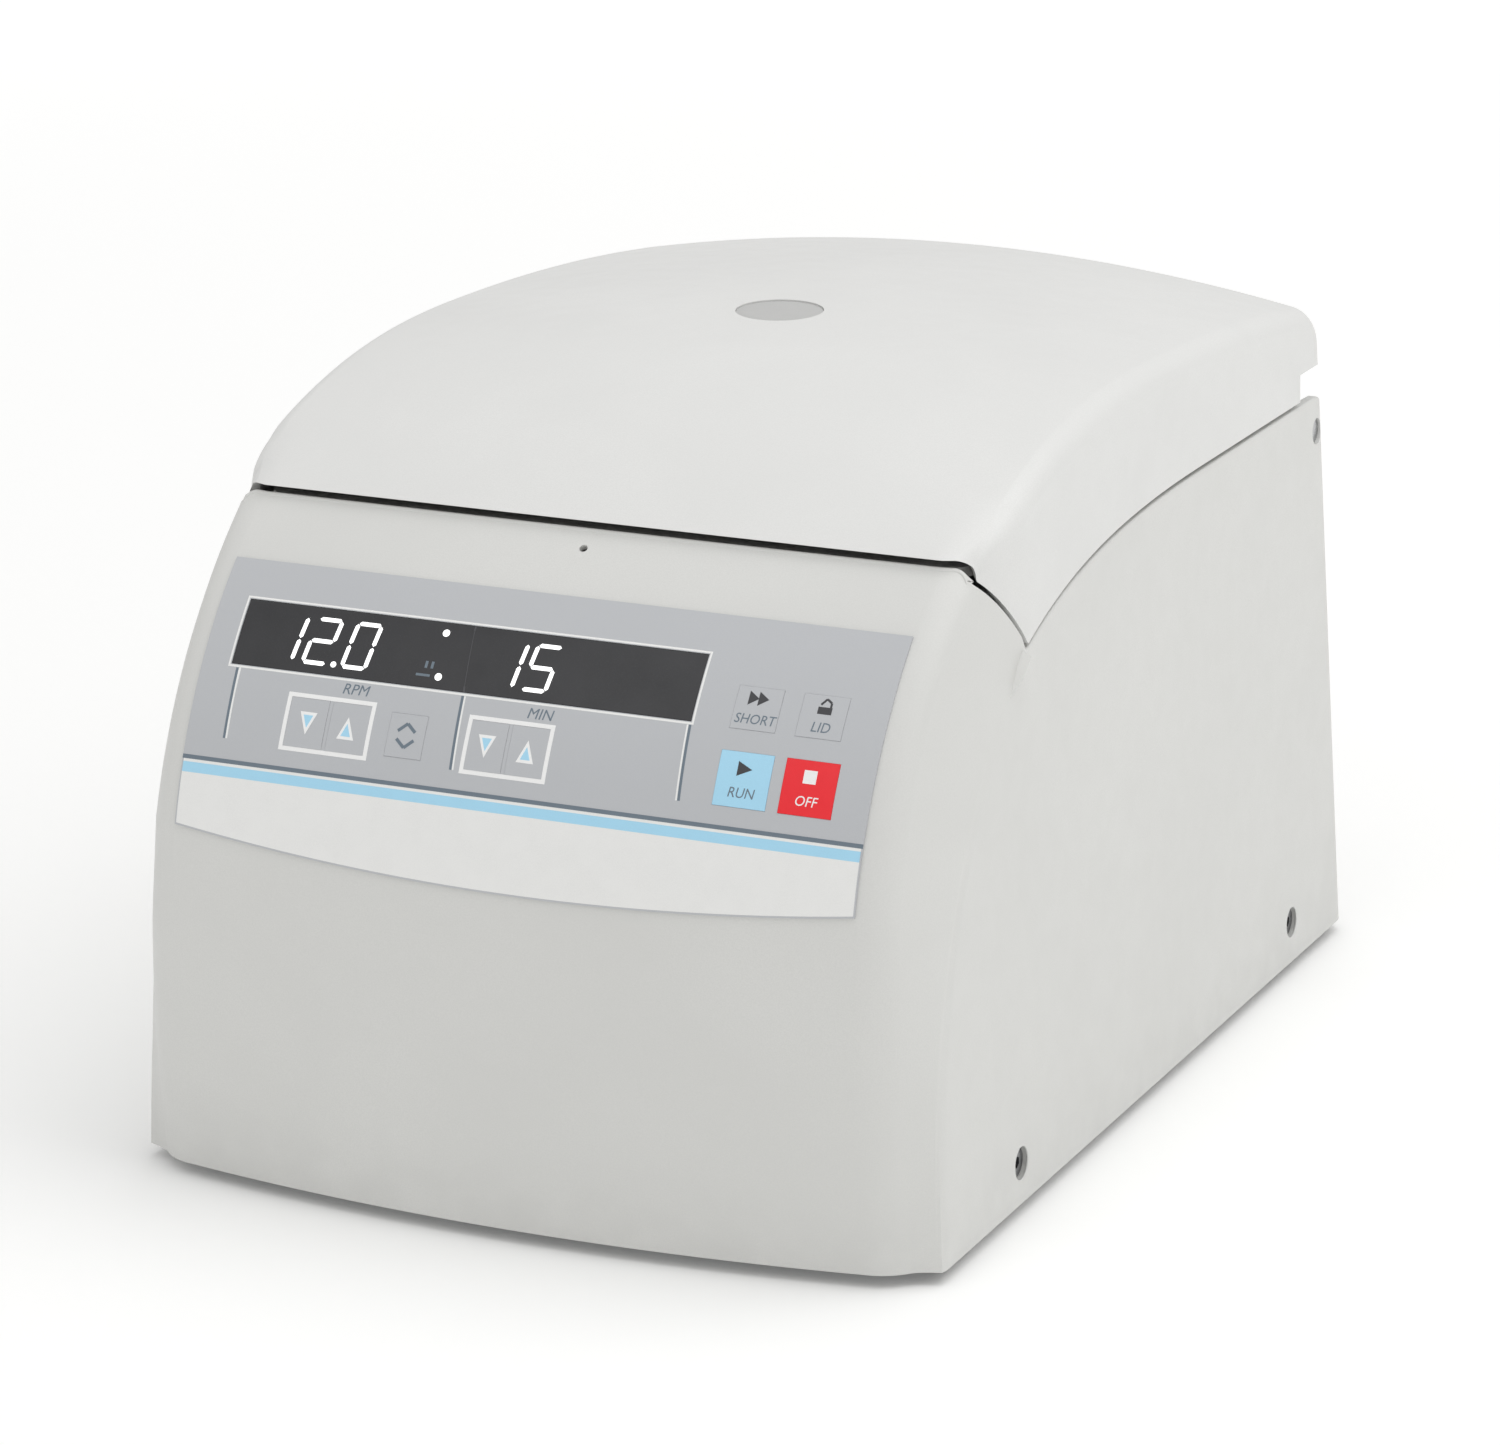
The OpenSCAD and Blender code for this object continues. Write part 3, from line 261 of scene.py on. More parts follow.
def column_pt(c, z):
    """Where a column of the casing stands at height z, as (x, y)."""
    kind, t = c
    r, x, y = REAR_R, side_x(z), rear_at(z)
    if kind == 0:
        return FACE_HW * t, front_at(FACE_HW * t, z)
    if kind == 1:
        return tuple(corner_curve(t, z))
    if kind == 2:
        return tuple(pillar_pt(mix(pillar_start(z), 1, t), z))
    if kind == 3:
        return x, side_pt_y(t, z)
    if kind == 4:
        return x - r + r * cos(t * pi / 2), y - r + r * sin(t * pi / 2)
    return (x - r) * (1 - t), y


def casing_columns():
    """The columns of the casing's right half from the middle of the front to the middle of the rear."""
    seam = (0.006, 0.012, 0.02, 0.03, 0.045)
    cols = [(0, i / 22) for i in range(22)]
    cols += [(1, i / 12) for i in range(12)]
    pillar = sorted({i / 12 for i in range(11)} | {1 - s * 4 for s in seam[2:]})
    cols += [(2, v) for v in pillar]
    side = sorted({i / 44 for i in range(2, 44)} | set(seam[:4]) | {0.0})
    cols += [(3, u) for u in side]
    cols += [(4, i / 8) for i in range(8)]
    cols += [(5, i / 8) for i in range(9)]
    return cols


def level_z(c, k):
    """Height of level k over a column, with one level on the crease of the front, crowding towards the top."""
    top = column_top(c)
    crease = crease_at(min(FACE_HW, FACE_HW * c[1])) if c[0] == 0 else crease_at(FACE_HW)
    m = int(LEVELS * CREASE_SHARE)
    if k <= m:
        return mix(CASING_Z, crease, k / m)
    return mix(crease, top, sin(pi / 2 * ((k - m) / (LEVELS - m)) ** 0.95))


def level_ring(cols, tops, k, drop):
    """The casing's outline at one level, staying a drop below the rim, right half first and then its mirror."""
    half = []
    for c, top in zip(cols, tops):
        z = min(level_z(c, k), top - drop)
        half.append((*column_pt(c, z), z))
    return half + [(-x, y, z) for x, y, z in half[-2:0:-1]]


def inset_ring(ring, d):
    p = np.array(ring)
    t = np.roll(p, -1, 0)[:, :2] - np.roll(p, 1, 0)[:, :2]
    t /= np.linalg.norm(t, axis=1)[:, None]
    out = p.copy()
    out[:, 0] -= t[:, 1] * d
    out[:, 1] += t[:, 0] * d
    return out


def seam_dip(ring, depth, width):
    """Presses the moulded seam into a ring, along the line where pillar and side meet."""
    p = np.array(ring)
    z = p[:, 2]
    sx = np.array([side_x(v) for v in z])
    sy = np.array([seam_y(v) for v in z])
    near = np.hypot(np.abs(p[:, 0]) - sx, p[:, 1] - sy)
    fade = np.clip((150 - z) / 45, 0, 1)
    amount = depth * fade * np.exp(-((near / width) ** 2) * 2.2)
    amount = np.where(p[:, 1] < 0, amount, 0)
    out = p.copy()
    out[:, 0] -= np.sign(p[:, 0]) * amount
    return out


def grid_faces(rows, n, offset=0, flip=False, closed=True):
    out = []
    for k in range(rows - 1):
        for i in range(n if closed else n - 1):
            j = (i + 1) % n
            q = (offset + k * n + i, offset + k * n + j, offset + (k + 1) * n + j, offset + (k + 1) * n + i)
            out.append(q[::-1] if flip else q)
    return out


def round_faces(n, m):
    """Faces of n rings of m points that close both ways."""
    return [
        (i * m + k, (i + 1) % n * m + k, (i + 1) % n * m + (k + 1) % m, i * m + (k + 1) % m)
        for i in range(n)
        for k in range(m)
    ]


def casing_mesh(st):
    """The moulded casing: a closed wall with a rounded upper rim and the seam pressed into it."""
    cols = casing_columns()
    tops = [column_top(c) for c in cols]
    rim = st.rim_radius / MM
    rings = []
    for k in range(LEVELS + 1):
        rings.append(seam_dip(level_ring(cols, tops, k, rim), st.seam_depth / MM, st.seam_width / MM))
    keep = [0]
    for k in range(1, LEVELS + 1):
        if np.abs(rings[k] - rings[keep[-1]]).max(1).min() > 0.02:
            keep.append(k)
    rings = [rings[k] for k in keep]
    last = rings[-1]
    for a in (30, 60, 90):
        t = radians(a)
        r = inset_ring(last, rim * (1 - cos(t)))
        r[:, 2] += rim * sin(t)
        rings.append(r)
    inner = []
    for k in range(0, len(keep), 3):
        inner.append(inset_ring(level_ring(cols, tops, k, rim + 1), WALL))
    top = inset_ring(last, WALL)
    top[:, 2] = rings[-1][:, 2]
    for p in top:
        if p[1] < SEAM_END_Y:
            p[2] = min(p[2], branch_z(p[1]))
    inner.append(top)
    n = len(last)
    a, b = len(rings), len(inner)
    verts = np.vstack(rings + inner) * MM
    faces = grid_faces(a, n)
    faces += grid_faces(b, n, a * n, flip=True)
    faces += [(i, a * n + i, a * n + (i + 1) % n, (i + 1) % n) for i in range(n)]
    t, o = (a - 1) * n, (a + b - 1) * n
    faces += [(t + i, t + (i + 1) % n, o + (i + 1) % n, o + i) for i in range(n)]
    return verts, faces


# The lid's form, in millimetres

LID_TOP_Z, LID_TOP_Y, LID_REAR_Z, LID_CROWN, LID_EDGE_R, LID_REAR_Y = 222.0, 30.0, 215.12, 10.15, 8.0, 153.5
LID_LIP_Z = LID_FRONT_Z + 1.6
LID_FLAT_END, NOTCH_Y, TAIL_Z, CROWN_END = LID_REAR_Y - 7.5, 137.0, 186.0, radians(78)
AXIS_Y, PORT_D, PORT_LOW = 8.0, 25.6, 194.0


def lid_mid_z(y):
    if y < LID_TOP_Y:
        return LID_TOP_Z - (LID_TOP_Z - LID_LIP_Z) * ((LID_TOP_Y - y) / (LID_TOP_Y - FRONT_EDGE_Y)) ** 2.66
    return LID_TOP_Z - (LID_TOP_Z - LID_REAR_Z) * ((y - LID_TOP_Y) / (LID_FLAT_END - LID_TOP_Y)) ** 2


def lid_crown_at(y):
    return LID_CROWN * (1 - exp(-(y - FRONT_EDGE_Y) / 120))


def branch_z(y):
    t = clamp01((SEAM_END_Y - y) / (SEAM_END_Y - FRONT_EDGE_Y))
    return TIP_Z + (LID_FRONT_Z - 1.5 - TIP_Z) * t ** (1 / 1.15)


def lid_low_z(y):
    if y > NOTCH_Y:
        return TAIL_Z
    return min(LID_FRONT_Z, SIDE_GAP + (branch_z(y) if y < SEAM_END_Y else right_branch_z(y)))


def lid_side_x(y, z):
    c = corner_pt(min(z, FRONT_Z))
    v = clamp01((y - c[1]) / (SEAM_END_Y - c[1]))
    return mix(c[0], side_x(z), v) + 1.2 * 4 * v * (1 - v)


def lid_y(y, x):
    fade = clamp01(1 - (y - FRONT_EDGE_Y) / 30)
    return y + 5 * clamp01((abs(x) - FACE_HW) / CORNER) ** 2 * fade


def lid_half(y, f, d, side_n=5, arc_n=12, top_n=30):
    """The right half of one row of the lid at y, d inside its outer face; f sinks the rear rows to the tail."""
    yy = y + d * (1.4 * clamp01(1 - (y - FRONT_EDGE_Y) / 20) - clamp01((y - 140) / (LID_REAR_Y - 140)))
    low, mid, crown = lid_low_z(lid_y(y, HALF_W)), lid_mid_z(min(yy, LID_FLAT_END)) - d, lid_crown_at(yy)
    nose = clamp01(1 - (yy - FRONT_EDGE_Y) / 8)
    swell, room = 2 + 0.274 * (yy - FRONT_EDGE_Y) + 3.5 * nose, (0.6 + 0.32 * nose) * (mid - crown - low)
    r = max(min(LID_EDGE_R - d, swell, room), 0.8)
    xt, xl = lid_side_x(yy, mid - crown - r) - d, lid_side_x(yy, low) - d
    xe = xt - r + r * cos(CROWN_END)
    ze = mid - crown * xe * xe / 10000
    zc = max(ze - r * sin(CROWN_END), low + 0.6)
    pts = [(mix(xl, xt, i / side_n), mix(low, zc, i / side_n)) for i in range(side_n)]
    for i in range(arc_n + 1):
        a = CROWN_END * i / arc_n
        pts.append((xt - r + r * cos(a), zc + r * sin(a)))
    for i in range(1, top_n + 1):
        x = xe * (1 - i / top_n)
        pts.append((x, mid - crown * x * x / 10000))
    return [(x, lid_y(yy, x), mix(TAIL_Z, max(z, low), f)) for x, z in pts]


def lid_rows():
    """The lid's rows from front to rear, as (y, share of the full height)."""
    rows = [(mix(FRONT_EDGE_Y, SEAM_END_Y, (i / 26) ** 1.2), 1) for i in range(27)]
    rows += [(mix(SEAM_END_Y, NOTCH_Y, i / 62), 1) for i in range(1, 63)]
    rows += [(NOTCH_Y + 0.15, 1), (mix(NOTCH_Y, LID_FLAT_END, 0.5), 1)]
    for t in (i / 11 for i in range(12)):
        y = mix(LID_FLAT_END, LID_REAR_Y, sin(t * pi / 2) ** 0.9)
        rows.append((y, 0.06 + 0.94 * cos(t * 1.5) ** 0.45))
    return rows


def lid_mesh():
    """The lid as two sheets one wall apart, closed round their edge."""
    rows = lid_rows()
    sheets = []
    for d in (0.0, WALL):
        pts = []
        for y, f in rows:
            half = lid_half(y, f, d)
            pts.append(half + [(-x, yy, z) for x, yy, z in half[-2::-1]])
        sheets.append(pts)
    m, n = len(rows), len(sheets[0][0])
    o = m * n
    verts = np.array([p for s in sheets for r in s for p in r]) * MM
    faces = [q[::-1] for q in grid_faces(m, n, 0, closed=False)]
    faces += grid_faces(m, n, o, closed=False)
    faces += [(i, i + 1, o + i + 1, o + i) for i in range(n - 1)]
    t = (m - 1) * n
    faces += [(t + i + 1, t + i, o + t + i, o + t + i + 1) for i in range(n - 1)]
    faces += [(k * n, o + k * n, o + (k + 1) * n, (k + 1) * n) for k in range(m - 1)]
    e = n - 1
    faces += [(k * n + e, (k + 1) * n + e, o + (k + 1) * n + e, o + k * n + e) for k in range(m - 1)]
    return verts, faces


# Meshes

LEAST_FACES = 50


def new_object(name, verts, faces, mat, body, sharp):
    me = bpy.data.meshes.new(name)
    me.from_pydata([tuple(v) for v in verts], [], [tuple(f) for f in faces])
    return dress(name, me, mat, body, sharp)


def mend(me, merge=0.0, dissolve=False):
    """Turns a mesh's faces outwards, after merging the points that coincide."""
    bm = bmesh.new()
    bm.from_mesh(me)
    if merge:
        bmesh.ops.remove_doubles(bm, verts=bm.verts, dist=merge)
    if dissolve:
        bmesh.ops.dissolve_degenerate(bm, edges=bm.edges, dist=merge)
    bmesh.ops.recalc_face_normals(bm, faces=bm.faces)
    bm.to_mesh(me)
    bm.free()


def dress(name, me, mat, body, sharp):
    """Makes a shaded object of a mesh and lets it ride on a body."""
    me.validate()
    mend(me)
    me.shade_smooth()
    me.set_sharp_from_angle(angle=radians(sharp))
    obj = bpy.data.objects.new(name, me)
    bpy.context.scene.collection.objects.link(obj)
    me.materials.append(mat)
    if body:
        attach(obj, body)
    return obj


def cut(obj, tools):
    """Takes the tool meshes out of obj and applies the result."""
    for tool in tools:
        mod = obj.modifiers.new("cut", "BOOLEAN")
        mod.operation = "DIFFERENCE"
        mod.solver = "EXACT"
        mod.object = tool
    bpy.context.view_layer.update()
    deps = bpy.context.evaluated_depsgraph_get()
    me = bpy.data.meshes.new_from_object(obj.evaluated_get(deps))
    old = obj.data
    obj.modifiers.clear()
    obj.data = me
    me.name = old.name
    for tool in tools:
        bpy.data.objects.remove(tool)
    if len(me.polygons) < LEAST_FACES:
        raise RuntimeError("a cut left nothing of " + obj.name)


def paint(obj, key, sharp=None):
    """Gives a cut piece its one material again, and its smooth shading where it is asked for."""
    obj.data.materials.clear()
    obj.data.materials.append(MATS[key])
    if sharp:
        obj.data.shade_smooth()
        obj.data.set_sharp_from_angle(angle=radians(sharp))


def tool_box(lo, hi):
    v = [(x, y, z) for x in (lo[0], hi[0]) for y in (lo[1], hi[1]) for z in (lo[2], hi[2])]
    f = [(0, 1, 3, 2), (4, 6, 7, 5), (0, 4, 5, 1), (2, 3, 7, 6), (0, 2, 6, 4), (1, 5, 7, 3)]
    return tool_mesh([tuple(c * MM for c in p) for p in v], f)


def tool_mesh(verts, faces):
    me = bpy.data.meshes.new("tool")
    me.from_pydata(verts, [], faces)
    mend(me)
    obj = bpy.data.objects.new("tool", me)
    bpy.context.scene.collection.objects.link(obj)
    return obj


def tool_rod(a, b, r, n=48):
    """A cylinder from a to b, in millimetres."""
    a, b = Vector(a), Vector(b)
    axis = (b - a).normalized()
    u = axis.orthogonal().normalized()
    w = axis.cross(u)
    ring = [u * cos(2 * pi * i / n) * r + w * sin(2 * pi * i / n) * r for i in range(n)]
    v = [(a + q) * MM for q in ring] + [(b + q) * MM for q in ring]
    f = [(i, (i + 1) % n, n + (i + 1) % n, n + i) for i in range(n)]
    f += [tuple(range(n)), tuple(range(2 * n - 1, n - 1, -1))]
    return tool_mesh([tuple(p) for p in v], f)


def face_at(x, arc, r):
    """The point r from the control face's centre line, at height arc along the face, in metres."""
    t = arc / FACE_R
    return (x * MM, (FACE_CY - r * cos(t)) * MM, (FACE_CZ + r * sin(t)) * MM)


def tool_face_patch(x1, x2, a1, a2, r1, r2, n=24):
    v, f = [], []
    for i in range(n + 1):
        a = mix(a1, a2, i / n)
        v += [face_at(x1, a, r1), face_at(x2, a, r1), face_at(x2, a, r2), face_at(x1, a, r2)]
    for i in range(n):
        for j in range(4):
            k = (j + 1) % 4
            f.append((4 * i + j, 4 * i + k, 4 * i + 4 + k, 4 * i + 4 + j))
    f += [(0, 1, 2, 3), (4 * n + 3, 4 * n + 2, 4 * n + 1, 4 * n)]
    return tool_mesh(v, f)


def lathe(name, profile, mat, body, n=48):
    """A turned piece about the z axis from a closed profile of (radius, height), in millimetres."""
    v = []
    for i in range(n):
        a = 2 * pi * i / n
        for r, z in profile:
            v.append((r * cos(a) * MM, r * sin(a) * MM, z * MM))
    obj = new_object(name, v, round_faces(n, len(profile)), mat, body, 35)
    mend(obj.data, 1e-7, True)
    obj.data.set_sharp_from_angle(angle=radians(35))
    return obj


# Prints: flat shapes wrapped on the control face

BAND = 1.5


def wrap(name, shapes, mat, body, lift, thick, base_r):
    """Flat faces given in (x, arc) millimetres, cut into narrow bands, thickened and wrapped on the control face."""
    bm = bmesh.new()
    for loop in shapes:
        vs = [bm.verts.new((x, a, 0)) for x, a in loop]
        bm.faces.new(vs)
    finish_wrap(bm, lift, thick, base_r)
    return dress(name, settle(name, bm), mat, body, 50)


def finish_wrap(bm, lift, thick, base_r):
    """Cuts flat faces into bands, thickens them and bends them onto the face, down from a lift over base_r."""
    lo = min(v.co.y for v in bm.verts)
    hi = max(v.co.y for v in bm.verts)
    a = floor(lo / BAND) * BAND + BAND
    while a < hi:
        geom = bm.verts[:] + bm.edges[:] + bm.faces[:]
        bmesh.ops.bisect_plane(bm, geom=geom, plane_co=(0, a, 0), plane_no=(0, 1, 0), dist=1e-5)
        a += BAND
    got = bmesh.ops.extrude_face_region(bm, geom=bm.faces[:])
    for e in got["geom"]:
        if isinstance(e, bmesh.types.BMVert):
            e.co.z = 1
    for v in bm.verts:
        r = base_r + lift + (0 if v.co.z > 0.5 else -thick)
        v.co = face_at(v.co.x, v.co.y, r)


def settle(name, bm):
    """The mesh of a wrapped shape, with its points and faces in an order that every run repeats."""
    bmesh.ops.recalc_face_normals(bm, faces=bm.faces)
    bm.verts.index_update()
    points = [tuple(v.co) for v in bm.verts]
    order = sorted(range(len(points)), key=lambda i: [round(c, 8) for c in points[i]])
    rank = {old: new for new, old in enumerate(order)}
    faces = []
    for face in bm.faces:
        loop = [rank[v.index] for v in face.verts]
        first = loop.index(min(loop))
        faces.append(loop[first:] + loop[:first])
    bm.free()
    me = bpy.data.meshes.new(name)
    me.from_pydata([points[i] for i in order], [], sorted(faces))
    return me


def wrap_text(name, text, x, arc, height, mat, body, lift, shear, stretch=1.0):
    """Generic lettering from Blender's built-in font, centred on x, standing on arc."""
    cu = bpy.data.curves.new(name, "FONT")
    cu.body, cu.size, cu.align_x, cu.shear = text, 1.0, "CENTER", shear
    cu.resolution_u = 3
    tmp = bpy.data.objects.new(name, cu)
    bpy.context.scene.collection.objects.link(tmp)
    bpy.context.view_layer.update()
    me = bpy.data.meshes.new_from_object(tmp.evaluated_get(bpy.context.evaluated_depsgraph_get()))
    bpy.data.objects.remove(tmp)
    bpy.data.curves.remove(cu)
    co = np.array([v.co[:] for v in me.vertices])
    scale = height / (co[:, 1].max() - co[:, 1].min())
    bm = bmesh.new()
    bm.from_mesh(me)
    bmesh.ops.remove_doubles(bm, verts=bm.verts, dist=1e-5)
    for v in bm.verts:
        v.co = (v.co.x * scale * stretch + x, v.co.y * scale + arc, 0)
    bpy.data.meshes.remove(me)
    finish_wrap(bm, lift, 0.12, FILM_R)
    return dress(name, settle(name, bm), mat, body, 50)


def rect(x1, x2, a1, a2):
    return [(x1, a1), (x2, a1), (x2, a2), (x1, a2)]


def frame_rects(x1, x2, a1, a2, w):
    ends = [rect(x1, x2, a1, a1 + w), rect(x1, x2, a2 - w, a2)]
    return ends + [rect(x1, x1 + w, a1 + w, a2 - w), rect(x2 - w, x2, a1 + w, a2 - w)]


def line(p, q, w):
    """A straight stroke of width w from p to q."""
    d = (q[0] - p[0], q[1] - p[1])
    n = hypot(*d)
    u = (-d[1] / n * w / 2, d[0] / n * w / 2)
    return [(e[0] + k * u[0], e[1] + k * u[1]) for e, k in ((p, -1), (q, -1), (q, 1), (p, 1))]


# Materials


class Surface:
    """A node material: constants go straight on the shader, and what varies over the surface is linked."""

    def __init__(self, name, rgb, rough, metal=0.0, **more):
        self.mat = bpy.data.materials.new(name)
        self.mat.use_nodes = True
        self.tree = self.mat.node_tree
        self.tree.nodes.clear()
        out = self.tree.nodes.new("ShaderNodeOutputMaterial")
        self.bsdf = self.tree.nodes.new("ShaderNodeBsdfPrincipled")
        self.tree.links.new(self.bsdf.outputs[0], out.inputs[0])
        self.coord = self.tree.nodes.new("ShaderNodeTexCoord").outputs["Object"]
        self.rgb = (*rgb, 1)
        self.mat.diffuse_color = self.rgb
        self.put("Base Color", self.rgb)
        self.put("Roughness", rough)
        self.put("Metallic", metal)
        for key, value in more.items():
            self.put(key.replace("_", " "), value)
        self.rough = rough

    def put(self, socket, value):
        self.bsdf.inputs[socket].default_value = value

    def add(self, kind, *links, **values):
        n = self.tree.nodes.new("ShaderNode" + kind)
        for key, value in values.items():
            if hasattr(n, key):
                setattr(n, key, value)
            else:
                n.inputs[key].default_value = value
        for source, socket in links:
            self.tree.links.new(source, n.inputs[socket])
        return n

    def link(self, source, socket):
        self.tree.links.new(source, self.bsdf.inputs[socket])

    def noise(self, scale, detail, coord=None, distortion=0.0):
        n = self.add("TexNoise", (coord or self.coord, "Vector"), Scale=scale, Detail=detail, Distortion=distortion)
        return n.outputs["Fac"]

    def spread(self, fac, lo, hi, a=0.35, b=0.65):
        n = self.add("MapRange", (fac, "Value"))
        for key, value in (("From Min", a), ("From Max", b), ("To Min", lo), ("To Max", hi)):
            n.inputs[key].default_value = value
        return n.outputs[0]

    def tone(self, fac, other, amount=1.0, a=0.35, b=0.65):
        """Mixes the base colour towards another by a 0 to 1 value that varies over the surface."""
        n = self.add("Mix", (self.spread(fac, 0, amount, a, b), "Factor"), data_type="RGBA")
        source = self.bsdf.inputs["Base Color"].links
        if source:
            self.tree.links.new(source[0].from_socket, n.inputs[6])
        else:
            n.inputs[6].default_value = self.rgb
        n.inputs[7].default_value = (*other, 1)
        self.link(n.outputs[2], "Base Color")

    def vary_rough(self, fac, amount):
        self.link(self.spread(fac, max(self.rough - amount, 0.02), min(self.rough + amount, 1)), "Roughness")

    def bump(self, fac, strength, distance):
        n = self.add("Bump", (fac, "Height"), Strength=strength, Distance=distance)
        source = self.bsdf.inputs["Normal"].links
        if source:
            self.tree.links.new(source[0].from_socket, n.inputs["Normal"])
        self.link(n.outputs[0], "Normal")


def shade(rgb, k):
    return tuple(min(c * k, 1) for c in rgb)


def moulded(name, rgb, rough, grain):
    """Moulded plastic: spark grain, faint flow tone, and a blotchy darkening towards the bottom edge."""
    s = Surface(name, rgb, rough, Specular_IOR_Level=0.42)
    s.tone(s.noise(14, 3, distortion=0.6), shade(rgb, 0.965))
    s.tone(s.noise(2600, 1), shade(rgb, 0.93), 0.6)
    # Darker towards the bottom: within 3 cm of the object's zero height, in noise blotches.
    z = s.add("SeparateXYZ", (s.coord, "Vector")).outputs["Z"]
    low, blotches = s.spread(z, 1, 0, 0.003, 0.03), s.spread(s.noise(90, 4), 0, 1)
    both = s.add("Math", (low, 0), (blotches, 1), operation="MULTIPLY")
    s.tone(both.outputs[0], shade(rgb, 0.86), 0.45, 0, 1)
    s.vary_rough(s.noise(120, 3), 0.05)
    s.bump(s.noise(1900, 2), grain, 0.0002)
    s.bump(s.noise(7000, 1), grain * 0.8, 0.0001)
    return s.mat


def layered(name, rgb, rough, tones, gloss, bumps, **more):
    """A finish of noise layers: tones as (scale, detail, shade, amount), gloss as (scale, detail, amount),
    bumps as (scale, detail, strength, depth)."""
    s = Surface(name, rgb, rough, **more)
    for scale, detail, k, *rest in tones:
        s.tone(s.noise(scale, detail), shade(rgb, k), *rest)
    s.vary_rough(s.noise(*gloss[:2]), gloss[2])
    for scale, detail, strength, depth in bumps:
        s.bump(s.noise(scale, detail), strength, depth)
    return s.mat


def film(name, rgb):
    """Screen-printed film: a fine tooth and the faint mottling of printed ink."""
    tones = ((3200, 1, 0.94, 0.5), (40, 3, 0.975, 0.8))
    return layered(name, rgb, 0.36, tones, (220, 3, 0.05), ((5200, 2, 0.06, 0.0001),), Specular_IOR_Level=0.45)


def smoked(name, rgb):
    """Smoked window: dark gloss with a few paler specks in it."""
    tones = ((60, 4, 0.86), (5200, 0, 1.5, 0.35, 0.62, 0.75))
    coat = {"Specular_IOR_Level": 0.3, "Coat_Weight": 0.1, "Coat_Roughness": 0.12}
    return layered(name, rgb, 0.22, tones, (150, 4, 0.05), ((900, 2, 0.01, 0.0001),), **coat)


def lit(name, rgb, strength):
    s = Surface(name, rgb, 0.4)
    s.tone(s.noise(900, 2), shade(rgb, 0.93))
    s.put("Emission Color", (*rgb, 1))
    s.put("Emission Strength", strength)
    s.bump(s.noise(4000, 1), 0.02, 0.0001)
    return s.mat


def ink(name, rgb, rough=0.42):
    tones = ((3800, 1, 0.94, 0.6), (160, 3, 1.015, 0.5))
    return layered(name, rgb, rough, tones, (300, 2, 0.06), ((6000, 1, 0.05, 0.00008),))


def turned(name, rgb, rough, metal=1.0, pitch=1500.0, strength=0.08):
    """Metal turned or spun about the rotor axis: fine rings round the axis, with smudges in its gloss."""
    s = Surface(name, rgb, rough, metal, Anisotropic=0.4)
    at = s.add("VectorMath", (s.coord, 0), operation="SUBTRACT")
    at.inputs[1].default_value = (0, AXIS_Y * MM, 0)
    p = s.add("SeparateXYZ", (at.outputs[0], "Vector"))
    flat = s.add("CombineXYZ", (p.outputs["X"], "X"), (p.outputs["Y"], "Y"))
    r = s.add("VectorMath", (flat.outputs[0], 0), operation="LENGTH")
    both = s.add("CombineXYZ", (r.outputs["Value"], "X"), (p.outputs["Z"], "Y"))
    rings = s.noise(pitch, 3, both.outputs[0])
    s.tone(rings, shade(rgb, 0.86), 0.7)
    s.tone(s.noise(25, 3), shade(rgb, 0.93), 0.4)
    s.vary_rough(s.noise(70, 1), 0.02)
    s.bump(rings, strength, 0.0002)
    return s.mat


def brushed(name, rgb, rough, stretch):
    """Drawn or brushed metal, with its scratches along one axis."""
    s = Surface(name, rgb, rough, 1.0)
    m = s.add("Mapping", (s.coord, "Vector"))
    m.inputs["Scale"].default_value = stretch
    lines = s.noise(1.0, 4, m.outputs[0])
    s.tone(lines, shade(rgb, 0.84), 0.8)
    s.tone(s.noise(40, 3), shade(rgb, 0.92))
    s.vary_rough(lines, 0.08)
    s.bump(lines, 0.08, 0.0002)
    return s.mat


def powder(name, rgb, rough, coarse=1.0):
    """Powder coat: an orange-peel skin over sheet metal."""
    tones = ((30, 3, 0.95), (2400, 1, 0.9, 0.6))
    bumps = ((700 * coarse, 2, 0.14, 0.0003), (3400, 1, 0.08, 0.0001))
    return layered(name, rgb, rough, tones, (160, 3, 0.07), bumps, Specular_IOR_Level=0.45)


def rubber(name, rgb):
    tones = ((50, 4, 1.5, 0.6), (2600, 2, 0.7, 0.6))
    return layered(name, rgb, 0.72, tones, (200, 3, 0.1), ((1600, 3, 0.15, 0.0002),), Specular_IOR_Level=0.35)


def frosted(name, rgb):
    """Slightly cloudy clear plastic."""
    tones = ((30, 4, 0.95, 0.4), (2600, 1, 0.92, 0.5))
    clear = {"Transmission_Weight": 0.25, "IOR": 1.49}
    return layered(name, rgb, 0.3, tones, (180, 1, 0.02), ((1600, 2, 0.05, 0.0001),), **clear)


def lacquer(name, rgb):
    """Circuit board: green lacquer over tracks and pads."""
    s = Surface(name, rgb, 0.3, Coat_Weight=0.3)
    cells = s.add("TexVoronoi", (s.coord, "Vector"), Scale=190.0, Randomness=0.35)
    tracks = s.add("TexBrick", (s.coord, "Vector"), Scale=110.0)
    s.tone(tracks.outputs["Fac"], shade(rgb, 1.9), 0.8, 0, 1)
    s.tone(cells.outputs["Distance"], (0.75, 0.62, 0.34), 0.9, 0.14, 0.11)
    s.tone(s.noise(900, 2), shade(rgb, 0.6), 0.4)
    s.vary_rough(s.noise(300, 3), 0.08)
    s.bump(tracks.outputs["Fac"], 0.2, 0.0001)
    return s.mat


